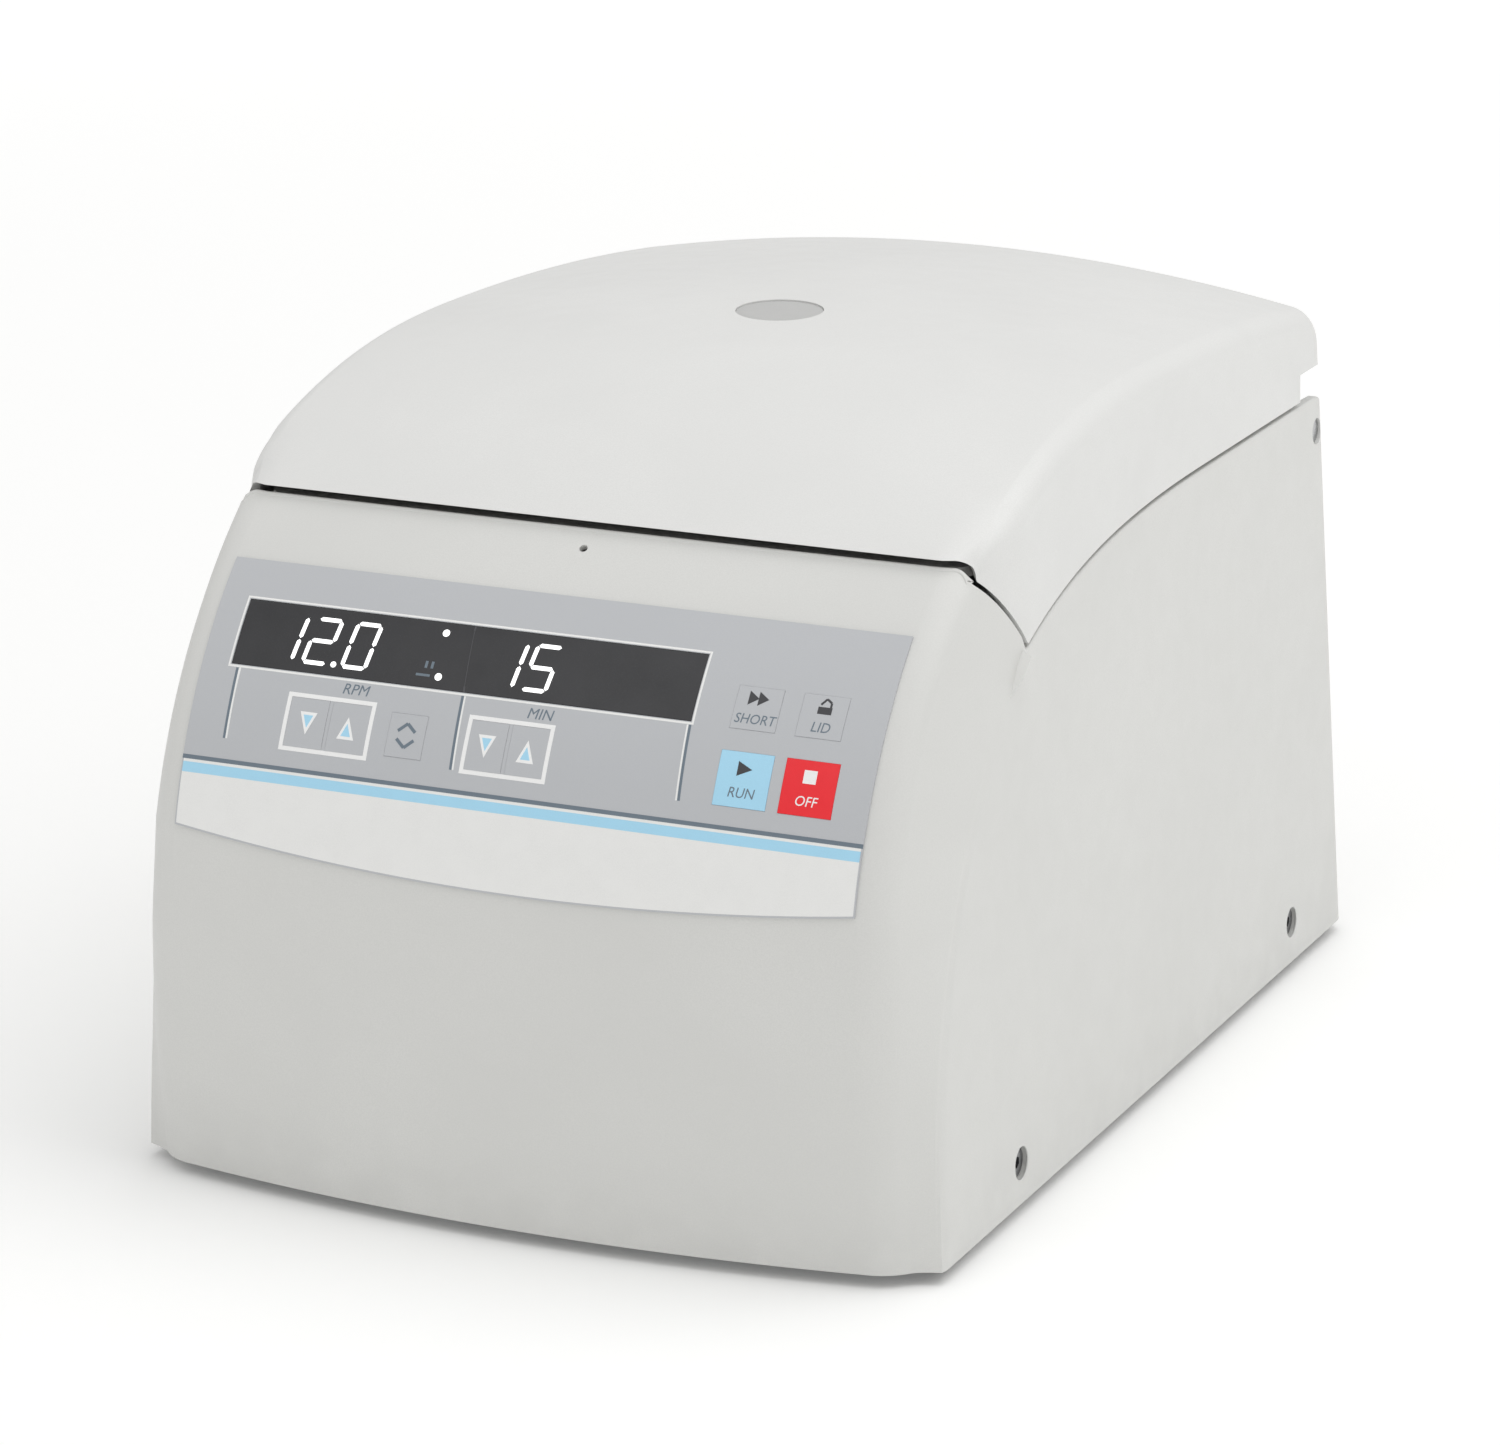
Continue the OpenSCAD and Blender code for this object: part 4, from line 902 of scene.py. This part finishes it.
def backdrop(name, rgb):
    """Matt studio paper on a light table: an even faint glow, stronger away from the object."""
    s = Surface(name, rgb, 0.85, Specular_IOR_Level=0.15)
    s.tone(s.noise(900, 2), shade(rgb, 0.99), 0.5)
    s.put("Emission Color", (1, 1, 1, 1))
    r = s.add("VectorMath", (s.coord, 0), operation="LENGTH")
    s.link(s.spread(r.outputs["Value"], 0.07, 0.42, 0.35, 2.4), "Emission Strength")
    return s.mat


MATS = {}


def make_materials(scene):
    sh, pa, me = scene.mc_shell, scene.mc_panel, scene.mc_metal
    g = sh.grain
    MATS.update(
        casing=moulded("casing_plastic", sh.casing, 0.46, g),
        # Painted light: the lid material is the casing plastic made paler, for the light that falls on its top.
        lid=moulded("lid_plastic_painted_lighter", sh.lid, 0.42, g),
        inside=moulded("inner_plastic", sh.inside, 0.5, g * 1.4),
        film=film("overlay_film", pa.film),
        # The pale ink is the printed window frame and also the painted highlight lines beside the rules.
        pale=ink("pale_print_and_glint", pa.pale_line),
        window=smoked("smoked_window", pa.window),
        unlit=ink("unlit_segments", srgb("4A4A4D"), 0.3),
        digit=lit("lit_segments", pa.digit, 1.1),
        blue=ink("blue_print", pa.blue, 0.34),
        slate=ink("slate_print", pa.slate),
        strip=ink("strip_print", pa.strip, 0.36),
        stop=ink("stop_print", pa.stop, 0.34),
        icon=ink("icon_print", pa.icon),
        white=ink("white_print", srgb("F4F4F3")),
        bowl=turned("spun_steel", me.bowl, 0.3),
        rotor=turned("anodised_rotor", me.rotor, 0.38, 0.9, 1900, 0.05),
        rotor_lid=turned("turned_aluminium", me.rotor_lid, 0.28),
        knob=moulded("knob_plastic", srgb("2B2C2E"), 0.45, 0.12),
        steel=turned("bright_steel", me.steel, 0.25),
        pin=brushed("pin_steel", me.steel, 0.24, (60, 2600, 2600)),
        sheet=brushed("zinc_sheet", srgb("AEB0B0"), 0.42, (2400, 90, 900)),
        paint=powder("rear_paint", me.paint, 0.5),
        arm=powder("arm_paint", me.dark_paint, 0.45),
        motor=powder("motor_paint", srgb("3D3F42"), 0.5, 0.8),
        rubber=rubber("black_rubber", me.rubber),
        seal=rubber("grey_rubber", srgb("58595A")),
        black=moulded("black_plastic", me.black, 0.42, 0.12),
        carrier=moulded("carrier_plastic", srgb("66676A"), 0.5, 0.1),
        board=lacquer("board_lacquer", me.board),
        port=frosted("port_plastic", srgb("D3D3D1")),
        screw=brushed("screw_steel", srgb("8C8D8F"), 0.35, (900, 2200, 2200)),
        brass=brushed("bearing_steel", srgb("C2C3C4"), 0.22, (800, 800, 3000)),
        floor=backdrop("studio_floor", scene.mc_stage.floor),
    )


FINISHES = {
    "inside": "chamber_deck lid_liner",
    "casing": "hinge_cover",
    "sheet": "base_pan motor_plate motor_stand latch_solenoid hinge_brackets deck_posts",
    "rubber": "feet motor_dampers",
    "paint": "rear_panel",
    "black": "mains_inlet power_switch_frame power_switch lock_case",
    "bowl": "rotor_bowl",
    "seal": "chamber_seal",
    "motor": "motor_body",
    "brass": "motor_bearings",
    "steel": "motor_shaft",
    "rotor": "rotor_body",
    "rotor_lid": "rotor_lid",
    "knob": "rotor_knob",
    "pin": "latch_bolt striker hinge_pins",
    "arm": "hinge_arms",
    "carrier": "keypad_carrier",
    "film": "front_overlay speed_down_key speed_up_key speed_unit_key time_down_key time_up_key pulse_key open_key",
    "window": "display_window",
    "board": "display_board control_board power_board",
    "screw": "side_screws",
    "blue": "start_key",
    "stop": "stop_key",
}
NODE_MATS = {node: key for key, nodes in FINISHES.items() for node in nodes.split()}


def dress_nodes():
    """Gives every carried-over CAD node its material, smooth faces and softened edges."""
    for name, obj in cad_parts.items():
        key = NODE_MATS.get(name)
        if not key:
            continue
        obj.data.polygons.foreach_set("material_index", [0] * len(obj.data.polygons))
        paint(obj, key, 32)
        soften(obj, 0.00004 if name.endswith("_key") else 0.0002)


def soften(obj, width):
    obj.modifiers.new("weld", "WELD").merge_threshold = 1e-6
    bev = obj.modifiers.new("edge", "BEVEL")
    bev.width, bev.segments, bev.limit_method, bev.angle_limit = width, 2, "ANGLE", radians(50)
    bev.harden_normals = False
    bev.use_clamp_overlap = True
    obj.modifiers.new("normals", "WEIGHTED_NORMAL").keep_sharp = True


# Pieces


def release_hole():
    """The pin hole over the panel that frees the lid without power."""
    arc = FACE_R * asin((FRONT_Z - 1.8 - FACE_CZ) / FACE_R)
    ends = [Vector(face_at(-1.1, arc, FACE_R + d)) / MM for d in (-8, 4)]
    return tool_rod(ends[0], ends[1], 1.2, 24)


FACE_OPENING, FACE_OPENING_REACH = (-95, 95, 52, 100), 20
REAR_OPENING = ((-84, 148, 28), (84, 190, 98))
SCREWS, SCREW_R, PIN_HOLE_R = ((-100.2, 15.5), (125.8, 16.6)), 5.0, 4.05


def build_casing(st):
    """The moulded casing with its openings for the panels, pins and screws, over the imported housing."""
    verts, faces = casing_mesh(st)
    obj = new_object("casing_shell", verts, faces, MATS["casing"], "base", 28)
    tools = [tool_face_patch(*FACE_OPENING, FACE_R - FACE_OPENING_REACH, FACE_R + FACE_OPENING_REACH)]
    tools += [tool_box(*REAR_OPENING), release_hole()]
    for side in (-1, 1):
        for y, z in SCREWS:
            tools.append(tool_rod((side * 112, y, z), (side * 126, y, z), SCREW_R))
        tools.append(tool_rod((side * 108, HINGE_Y, HINGE_Z), (side * 126, HINGE_Y, HINGE_Z), PIN_HOLE_R))
    cut(obj, tools)
    paint(obj, "casing", 28)
    obj.modifiers.new("normals", "WEIGHTED_NORMAL").keep_sharp = True
    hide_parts("housing")
    for side in (-1, 1):
        for y, z in SCREWS:
            collar(side, y, z)


def collar(side, y, z):
    """The soft rounded lip of a screw recess in the casing's side."""
    m, n = 10, 48
    v = []
    for i in range(n):
        a = 2 * pi * i / n
        for j in range(m):
            t = 2 * pi * j / m
            r = SCREW_R + 0.35 * cos(t)
            zz = z + r * sin(a)
            x = side * (side_x(zz) - 0.3 + 0.35 * sin(t))
            v.append((x * MM, (y + r * cos(a)) * MM, zz * MM))
    new_object("screw_lip", v, round_faces(n, m), MATS["casing"], "base", 80)


def build_lid():
    """The domed lid with the hole of its port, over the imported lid."""
    verts, faces = lid_mesh()
    obj = new_object("lid_cover", verts, faces, MATS["lid"], "lid", 30)
    top = lid_mid_z(AXIS_Y)
    cut(obj, [tool_rod((0, AXIS_Y, top - 12), (0, AXIS_Y, top + 20), PORT_D / 2, 96)])
    paint(obj, "lid", 30)
    soften(obj, 0.0006)
    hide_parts("lid_shell")
    build_port(top)


def build_port(top):
    """The viewing port: a window that follows the lid's dome, on the tube that comes down from it."""
    r, n, rings = PORT_D / 2 - 0.12, 96, 8
    v = []

    def dome(x, y):
        return lid_mid_z(y) - lid_crown_at(y) * x * x / 10000

    for k in range(rings + 1):
        q = r * (k / rings) if k < rings else r
        edge = 0.35 * clamp01((q - (r - 0.5)) / 0.5) ** 2
        for i in range(n):
            a = 2 * pi * i / n
            x, y = q * cos(a), q * sin(a)
            v.append((x * MM, (AXIS_Y + y) * MM, (dome(x, AXIS_Y + y) - 0.12 - edge) * MM))
    for q, z in ((r, PORT_LOW), (r - 1.8, PORT_LOW), (r - 1.8, top - 3.4)):
        for i in range(n):
            a = 2 * pi * i / n
            v.append((q * cos(a) * MM, (AXIS_Y + q * sin(a)) * MM, z * MM))
    last = (rings + 3) * n
    faces = [*grid_faces(rings + 4, n), tuple(range(last, last + n))]
    obj = new_object("port_window", v, faces, MATS["port"], "lid", 40)
    mend(obj.data, 1e-6)
    obj.data.set_sharp_from_angle(angle=radians(40))
    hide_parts("lid_port")


FILM_X, FILM_TOP, STRIPE, KEY_GAP = 101.0, 107.6, 48.9, 0.06
SPEED_FRAME, TIME_FRAME = (-72.5, -45.6, 54.0, 70.1, 1.2), (-17.6, 8.0, 54.0, 70.1, 1.2)
ROW, ICON_ROW = 62.019, 81.519
KEYS = (
    ("speed_down", -65.398, ROW, 11.6, 13.6),
    ("speed_up", -52.601, ROW, 11.6, 13.6),
    ("speed_unit", -34.997, ROW, 11, 12),
    ("time_down", -10.908, ROW, 11, 13.6),
    ("time_up", 1.313, ROW, 11, 13.6),
    ("pulse", 63.933, ICON_ROW, 13, 12),
    ("open", 82.719, ICON_ROW, 13, 12),
    ("start", 64.438, ROW, 15.2, 14.8),
    ("stop", 83.224, ROW, 15.2, 14.8),
)
WINDOW = (-92.011, 46.197, 75.921, 95.129)


def low_arc(x):
    return FACE_R * asin((crease_at(x) + 0.6 - FACE_CZ) / FACE_R)


def film_cells(x_cuts, a_cuts, holes):
    """Rectangles that tile the film between its cuts, leaving the holes out."""
    out = []
    for x1, x2 in zip(x_cuts, x_cuts[1:]):
        for a1, a2 in zip(a_cuts, a_cuts[1:]):
            cx, ca = (x1 + x2) / 2, (a1 + a2) / 2
            if not any(h[0] < cx < h[1] and h[2] < ca < h[3] for h in holes):
                out.append((x1, x2, a1, a2))
    return out


def build_film(pa):
    """The overlay film round its window and keys, and the prints at its foot."""
    g = KEY_GAP
    holes = [(x - w / 2 - g, x + w / 2 + g, a - h / 2 - g, a + h / 2 + g) for _, x, a, w, h in KEYS]
    holes.append((WINDOW[0] - 0.1, WINDOW[1] + 0.1, WINDOW[2] - 0.1, WINDOW[3] + 0.1))
    xs = sorted({-FILM_X, FILM_X} | {h[i] for h in holes for i in (0, 1)} | set(np.linspace(-96, 96, 17).tolist()))
    arcs = sorted({STRIPE, FILM_TOP} | {h[i] for h in holes for i in (2, 3)})
    bm = bmesh.new()
    grid = {}

    def vert(x, a):
        key = (round(x, 4), round(a, 4))
        if key not in grid:
            grid[key] = bm.verts.new((x, a, 0))
        return grid[key]

    for x1, x2, a1, a2 in film_cells(xs, arcs, holes):
        bm.faces.new([vert(x1, a1), vert(x2, a1), vert(x2, a2), vert(x1, a2)])
    for x1, x2 in zip(xs, xs[1:]):
        bm.faces.new([vert(x1, low_arc(x1)), vert(x2, low_arc(x2)), vert(x2, STRIPE), vert(x1, STRIPE)])
    finish_wrap(bm, 0.0, OVERLAY_T, FILM_R)
    obj = dress("panel_film", settle("panel_film", bm), MATS["film"], "base", 40)
    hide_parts("front_overlay")
    printed("pale_edges", panel_edges(pa), "pale", 0.02)
    low = [(x, low_arc(x) + 0.5) for x in np.linspace(-FILM_X + 0.4, FILM_X - 0.4, 33)]
    strip = [[low[i], low[i + 1], (low[i + 1][0], STRIPE - 0.6), (low[i][0], STRIPE - 0.6)] for i in range(32)]
    printed("foot_strip", strip, "strip", 0.03)
    printed("slate_line", [rect(-FILM_X, FILM_X, STRIPE - 0.6, STRIPE + 0.55)], "slate", 0.05)
    printed("blue_stripe", [rect(-FILM_X + 0.4, FILM_X - 0.4, 44.7, 47.5)], "blue", 0.05)


def printed(name, shapes, key, lift, body="base", thick=0.12, base_r=FILM_R):
    """A print of flat shapes on the film or on a key."""
    obj = wrap(name, shapes, MATS[key], body, lift, thick, base_r)


def panel_edges(pa):
    """The pale frame round the window and the fine line at its left."""
    x1, x2, a1, a2 = WINDOW
    border = frame_rects(x1 - 0.9, x2 + 0.9, a1 - 0.9, a2 + 0.9, 0.55)
    return border + [line((-89.0, 75.0), (-89.0, 55.1), pa.line_width / MM)]


# Each rule as top, foot and the side offset of the painted highlight line beside it.
RULES = (((-89.9, 74.9), (-89.4, 55.1), 0.7), ((-21.0, 74.9), (-20.2, 54.6), 0.7), ((46.2, 74.9), (47.2, 54.4), -0.7))


def build_rules():
    """The upright rules under the window, each with a painted highlight (a pale glint line) beside it, the key frames
    and their words.
    """
    pale = [line((p[0] + d, p[1]), (q[0] + d, q[1]), 0.5) for p, q, d in RULES]
    printed("panel_rules", [line(p, q, 0.75) for p, q, _ in RULES], "slate", 0.03)
    # Painted highlight: a pale glint line beside each rule.
    printed("panel_rule_glints", pale, "pale", 0.03)
    printed("speed_frame", frame_rects(*SPEED_FRAME), "white", 0.04)
    printed("time_frame", frame_rects(*TIME_FRAME), "white", 0.04)
    for name, text, x, a in (("speed_label", "RPM", -52.9, 71.4), ("time_label", "MIN", 2.7, 71.1)):
        wrap_text(name, text, x, a, 2.9, MATS["slate"], "base", 0.03, 0.18)


SEGMENTS = {"0": "abcdef", "1": "bc", "2": "abged", "5": "afgcd"}
DIGITS = (("1", -82.0), ("2", -71.6), ("0", -59.6), ("1", -15.2), ("5", -5.2))
DIGIT_FOOT, DIGIT_W, SEGMENT_W, SEGMENT_GAP = 78.3, 8.2, 1.2, 0.18


def digit_shapes(char, x, h, slant):
    """The lit segments of one digit of height h, whose foot starts at x."""
    a, w, t, m, gap = DIGIT_FOOT, DIGIT_W, SEGMENT_W / 2, h / 2, SEGMENT_GAP

    def bar(p, q):
        dx, dy = q[0] - p[0], q[1] - p[1]
        n = hypot(dx, dy)
        ux, uy = dx / n, dy / n
        vx, vy = -uy, ux
        p = (p[0] + ux * gap, p[1] + uy * gap)
        q = (q[0] - ux * gap, q[1] - uy * gap)
        pts = [
            p,
            (p[0] + (ux + vx) * t, p[1] + (uy + vy) * t),
            (q[0] + (vx - ux) * t, q[1] + (vy - uy) * t),
            q,
            (q[0] - (ux + vx) * t, q[1] - (uy + vy) * t),
            (p[0] + (ux - vx) * t, p[1] + (uy - vy) * t),
        ]
        return [(x + px + slant * py, a + py) for px, py in pts][::-1]

    at = {
        "a": ((t, h - t), (w - t, h - t)),
        "b": ((w - t, m), (w - t, h - t)),
        "c": ((w - t, t), (w - t, m)),
        "d": ((t, t), (w - t, t)),
        "e": ((t, t), (t, m)),
        "f": ((t, m), (t, h - t)),
        "g": ((t, m), (w - t, m)),
    }
    return [bar(*at[k]) for k in SEGMENTS[char]]


def disc(x, a, r, n=20):
    return [(x + r * cos(2 * pi * i / n), a + r * sin(2 * pi * i / n)) for i in range(n)]


def build_display(pa):
    """The lit digits with their points, the small unlit marks and the split between the two readings."""
    shapes = []
    for char, x in DIGITS:
        shapes += digit_shapes(char, x, pa.digit_height / MM, pa.digit_slant)
    shapes += [disc(-61.5, DIGIT_FOOT + 0.8, 0.85), disc(-30.9, 92.0, 1.05), disc(-29.6, 79.3, 1.05)]
    printed("display_digits", shapes, "digit", 0.03)
    small = [rect(-34.4, -33.6, 81.4, 83.4), rect(-32.6, -31.8, 81.4, 83.4), rect(-36.4, -32.2, 79.0, 79.7)]
    printed("display_marks", small, "slate", 0.03)
    split = [line((-22.9, 95.0), (-22.9, 93.6), 0.5), line((-21.2, 77.6), (-21.0, 76.0), 0.5)]
    printed("display_split", split + [line((-22.85, 93.6), (-21.2, 77.6), 0.2)], "unlit", 0.02)


ARROWS = (("speed_down", -65.2, -1), ("speed_up", -53.0, 1), ("time_down", -11.1, -1), ("time_up", 1.1, 1))
KEY_WORDS = (
    ("pulse", "SHORT", 64.0, 77.2, "slate"),
    ("open", "LID", 82.8, 77.2, "slate"),
    ("start", "RUN", 64.4, 57.2, "slate"),
    ("stop", "OFF", 83.0, 57.2, "white"),
)


def build_key_prints():
    """The arrows, marks and words on the keys, each riding on its own key."""
    top = FILM_R + 0.1

    def on(key, name, shapes, mat, lift=0.03):
        return printed(name, shapes, mat, lift, key + "_button", 0.1, top)

    def arrow(x, a, w, h, way):
        return [(x - w / 2, a - way * h / 2), (x + w / 2, a - way * h / 2), (x, a + way * h / 2)][::way]

    def play(x, a, w):
        return [(x, a - 2), (x + w, a), (x, a + 2)]

    for key, x, way in ARROWS:
        on(key, key + "_arrow", [arrow(x, 62.0, 5.2, 6.2, way)], "white")
        on(key, key + "_core", [arrow(x, 62.0 - way * 0.5, 2.9, 3.5, way)], "blue", 0.06)
    chevrons = []
    for way in (1, -1):
        tip, foot = 62.1 + way * 3.3, 62.1 + way * 1.1
        chevrons += [line((-37.7, foot), (-35.1, tip), 0.9), line((-35.1, tip), (-32.5, foot), 0.9)]
    on("speed_unit", "toggle_mark", chevrons, "slate")
    on("pulse", "pulse_mark", [play(60.9, 84.3, 3.0), play(63.7, 84.3, 3.0)], "icon")
    shackle = ((81.5, 84.8), (82.9, 86.5), (84.4, 85.5), (84.4, 84.2))
    bars = [line(p, q, 0.6) for p, q in zip(shackle, shackle[1:])]
    on("open", "open_mark", [rect(80.9, 84.9, 82.2, 84.2), *bars], "icon")
    on("start", "start_mark", [play(62.3, 64.9, 4.2)], "icon")
    on("stop", "stop_mark", [rect(81.2, 84.9, 63.2, 66.8)], "white")
    for key, text, x, a, mat in KEY_WORDS:
        word = wrap_text(key + "_label", text, x, a, 2.7, MATS[mat], key + "_button", 0.13, 0.15, 0.95)


REAR_TILT, ROCKER_TILT = atan(REAR_LEAN), radians(8)
SWITCH_X, INLET_X, INLET_Z = 2.0, -52.0, 44.0


def rear_frame(x, z):
    """The frame of a fitting on the rear panel, with its z out of the panel's face, in metres."""
    turn = Matrix.Rotation(pi, 4, "Z") @ Matrix.Rotation(pi / 2 - REAR_TILT, 4, "X")
    return Matrix.Translation(Vector((x, rear_at(z) - WALL, z)) * MM) @ turn


def rear_screw(name, at, z, r):
    """A pan-head screw with a cross recess, on a face z out from the frame."""
    head = [(0, z + 1.7), (r * 0.5, z + 1.6), (r * 0.82, z + 1.25), (r, z + 0.6), (r, z - 0.05), (0, z - 0.05)]
    obj = lathe(name, head, MATS["screw"], "base")
    slots = ((r * 0.55, 0.35), (0.35, r * 0.55))
    cut(obj, [tool_box((-w, -d, z + 0.8), (w, d, z + 3)) for w, d in slots])
    obj.data.transform(at)
    paint(obj, "screw")


def rocker_mark(name, cells, at):
    """A thin white mark that follows the rocker's hollow face."""
    v, f = [], []
    for cell in cells:
        o = len(v)
        for lift in (-0.06, 0.05):
            v += [(x * MM, y * MM, (24 - sqrt(484 - y * y) + lift) * MM) for x, y in cell]
        f += [(o + 3, o + 2, o + 1, o), (o + 4, o + 5, o + 6, o + 7)]
        f += [(o + i, o + (i + 1) % 4, o + 4 + (i + 1) % 4, o + 4 + i) for i in range(4)]
    obj = new_object(name, v, f, MATS["white"], "rocker", 40)
    obj.data.transform(at)


def build_rear():
    """The rocker's two marks, which ride on it, and the screws of the rear panel and the inlet."""
    for x in (-80.5, 80.5):
        for z in (32.0, 94.0):
            rear_screw("panel_screw", rear_frame(x, z), 0, 2.9)
    for side in (-1, 1):
        at = rear_frame(INLET_X, INLET_Z) @ Matrix.Translation((side * 20 * MM, 0, 0))
        rear_screw("inlet_screw", at, 2.5, 2.4)
    pin = Matrix.Translation((0, 0, 3 * MM))
    at = rear_frame(SWITCH_X, INLET_Z) @ pin.inverted() @ Matrix.Rotation(ROCKER_TILT, 4, "X") @ pin
    steps = [3.4 + 0.5 * i for i in range(10)]
    rocker_mark("rocker_bar", [[(-0.45, a), (0.45, a), (0.45, b), (-0.45, b)] for a, b in zip(steps, steps[1:])], at)
    ring = []
    for i in range(40):
        a, b = 2 * pi * i / 40, 2 * pi * (i + 1) / 40
        ring.append([(r * cos(t), -5.6 + r * sin(t)) for r, t in ((1.6, a), (2.4, a), (2.4, b), (1.6, b))])
    rocker_mark("rocker_ring", ring, at)


# Operators, panel and the run


class MC_OT_materials(bpy.types.Operator):
    """Make every procedural material and dress the carried-over CAD nodes"""

    bl_idname = "mc.materials"
    bl_label = "Materials and CAD Nodes"

    def execute(self, context):
        make_materials(context.scene)
        dress_nodes()
        return {"FINISHED"}


class MC_OT_casing(bpy.types.Operator):
    """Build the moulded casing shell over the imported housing"""

    bl_idname = "mc.casing"
    bl_label = "Casing Shell"

    def execute(self, context):
        build_casing(context.scene.mc_shell)
        return {"FINISHED"}


class MC_OT_lid(bpy.types.Operator):
    """Build the domed lid and its viewing port"""

    bl_idname = "mc.lid"
    bl_label = "Lid"

    def execute(self, context):
        build_lid()
        return {"FINISHED"}


class MC_OT_panel(bpy.types.Operator):
    """Build the printed overlay, the lit display and the key prints"""

    bl_idname = "mc.panel"
    bl_label = "Control Panel"

    def execute(self, context):
        pa = context.scene.mc_panel
        build_film(pa)
        build_rules()
        build_display(pa)
        build_key_prints()
        return {"FINISHED"}


class MC_OT_rear(bpy.types.Operator):
    """Add the marks and fixings of the rear panel"""

    bl_idname = "mc.rear"
    bl_label = "Rear Panel"

    def execute(self, context):
        build_rear()
        return {"FINISHED"}


class MC_OT_stage(bpy.types.Operator):
    """Set up the pale floor, the soft studio light and the camera"""

    bl_idname = "mc.stage"
    bl_label = "Studio Stage"

    def execute(self, context):
        build_stage(context)
        return {"FINISHED"}


CAMERA_AT = (0.6601, -1.4863, 0.5771)


def build_stage(context):
    """The floor, the surrounding light, three soft lights and the camera."""
    st = context.scene.mc_stage
    s = st.floor_size / 2
    n = 8
    v = [(-s + 2 * s * i / n, -s + 2 * s * j / n, 0.0) for j in range(n + 1) for i in range(n + 1)]
    f = grid_faces(n + 1, n + 1, closed=False)
    floor = new_object("studio_floor", v, f, MATS["floor"], None, 30)
    world = bpy.data.worlds.new("studio")
    world.use_nodes = True
    bg = world.node_tree.nodes["Background"]
    bg.inputs[0].default_value = (1, 1, 1, 1)
    bg.inputs[1].default_value = st.world
    context.scene.world = world
    area("key_light", (0.55, 0.1, 1.65), (0, 0, 0.1), 1.8, st.key_power * 4)
    area("front_light", (-0.35, -1.25, 1.7), (0, -0.1, 0.15), 1.2, st.fill_power * 13)
    area("fill_light", (2.0, -0.3, 0.9), (0, 0, 0.1), 1.4, st.fill_power * 4)
    context.scene.view_settings.view_transform = "Standard"
    context.scene.view_settings.look = "None"
    cam = bpy.data.cameras.new("photo_camera")
    obj = bpy.data.objects.new("photo_camera", cam)
    context.scene.collection.objects.link(obj)
    az, el = radians(st.azimuth), radians(st.elevation)
    back = Vector((sin(az) * cos(el), -cos(az) * cos(el), sin(el)))
    right = Vector((cos(az), sin(az), 0))
    up = back.cross(right)
    m = Matrix((right, up, back)).transposed().to_4x4()
    m.translation = Vector(CAMERA_AT)
    obj.matrix_world = m
    cam.lens, cam.sensor_width, cam.sensor_fit = st.lens, 36, "HORIZONTAL"
    cam.clip_start, cam.clip_end = 0.05, 50
    context.scene.camera = obj


def area(name, at, to, width, power):
    """A square soft light at one point, turned towards another."""
    data = bpy.data.lights.new(name, "AREA")
    data.size, data.energy = width, power
    obj = bpy.data.objects.new(name, data)
    obj.location = at
    obj.rotation_euler = (Vector(to) - Vector(at)).to_track_quat("-Z", "Y").to_euler()
    bpy.context.scene.collection.objects.link(obj)


class MC_PT_panel(bpy.types.Panel):
    bl_label = "Bench Microcentrifuge"
    bl_idname = "MC_PT_panel"
    bl_space_type = "VIEW_3D"
    bl_region_type = "UI"
    bl_category = "Centrifuge"

    def draw(self, context):
        col = self.layout.column()
        for name in ("mc_shell", "mc_panel", "mc_metal", "mc_stage"):
            group = getattr(context.scene, name)
            box = col.box()
            for prop in type(group).__annotations__:
                box.prop(group, prop)
        for op in OPERATORS:
            col.operator(op.bl_idname)


GROUPS = {"mc_shell": ShellSettings, "mc_panel": PanelSettings, "mc_metal": MetalSettings, "mc_stage": StageSettings}
OPERATORS = (MC_OT_materials, MC_OT_casing, MC_OT_lid, MC_OT_panel, MC_OT_rear, MC_OT_stage)
CLASSES = (*GROUPS.values(), *OPERATORS, MC_PT_panel)


def register():
    for cls in CLASSES:
        bpy.utils.register_class(cls)
    for name, cls in GROUPS.items():
        setattr(bpy.types.Scene, name, bpy.props.PointerProperty(type=cls))


def unregister():
    for name in GROUPS:
        delattr(bpy.types.Scene, name)
    for cls in reversed(CLASSES):
        bpy.utils.unregister_class(cls)


def main():
    register()
    bpy.ops.mc.materials()
    bpy.ops.mc.casing()
    bpy.ops.mc.lid()
    bpy.ops.mc.panel()
    bpy.ops.mc.rear()
    bpy.ops.mc.stage()


if __name__ == "__main__":
    main()
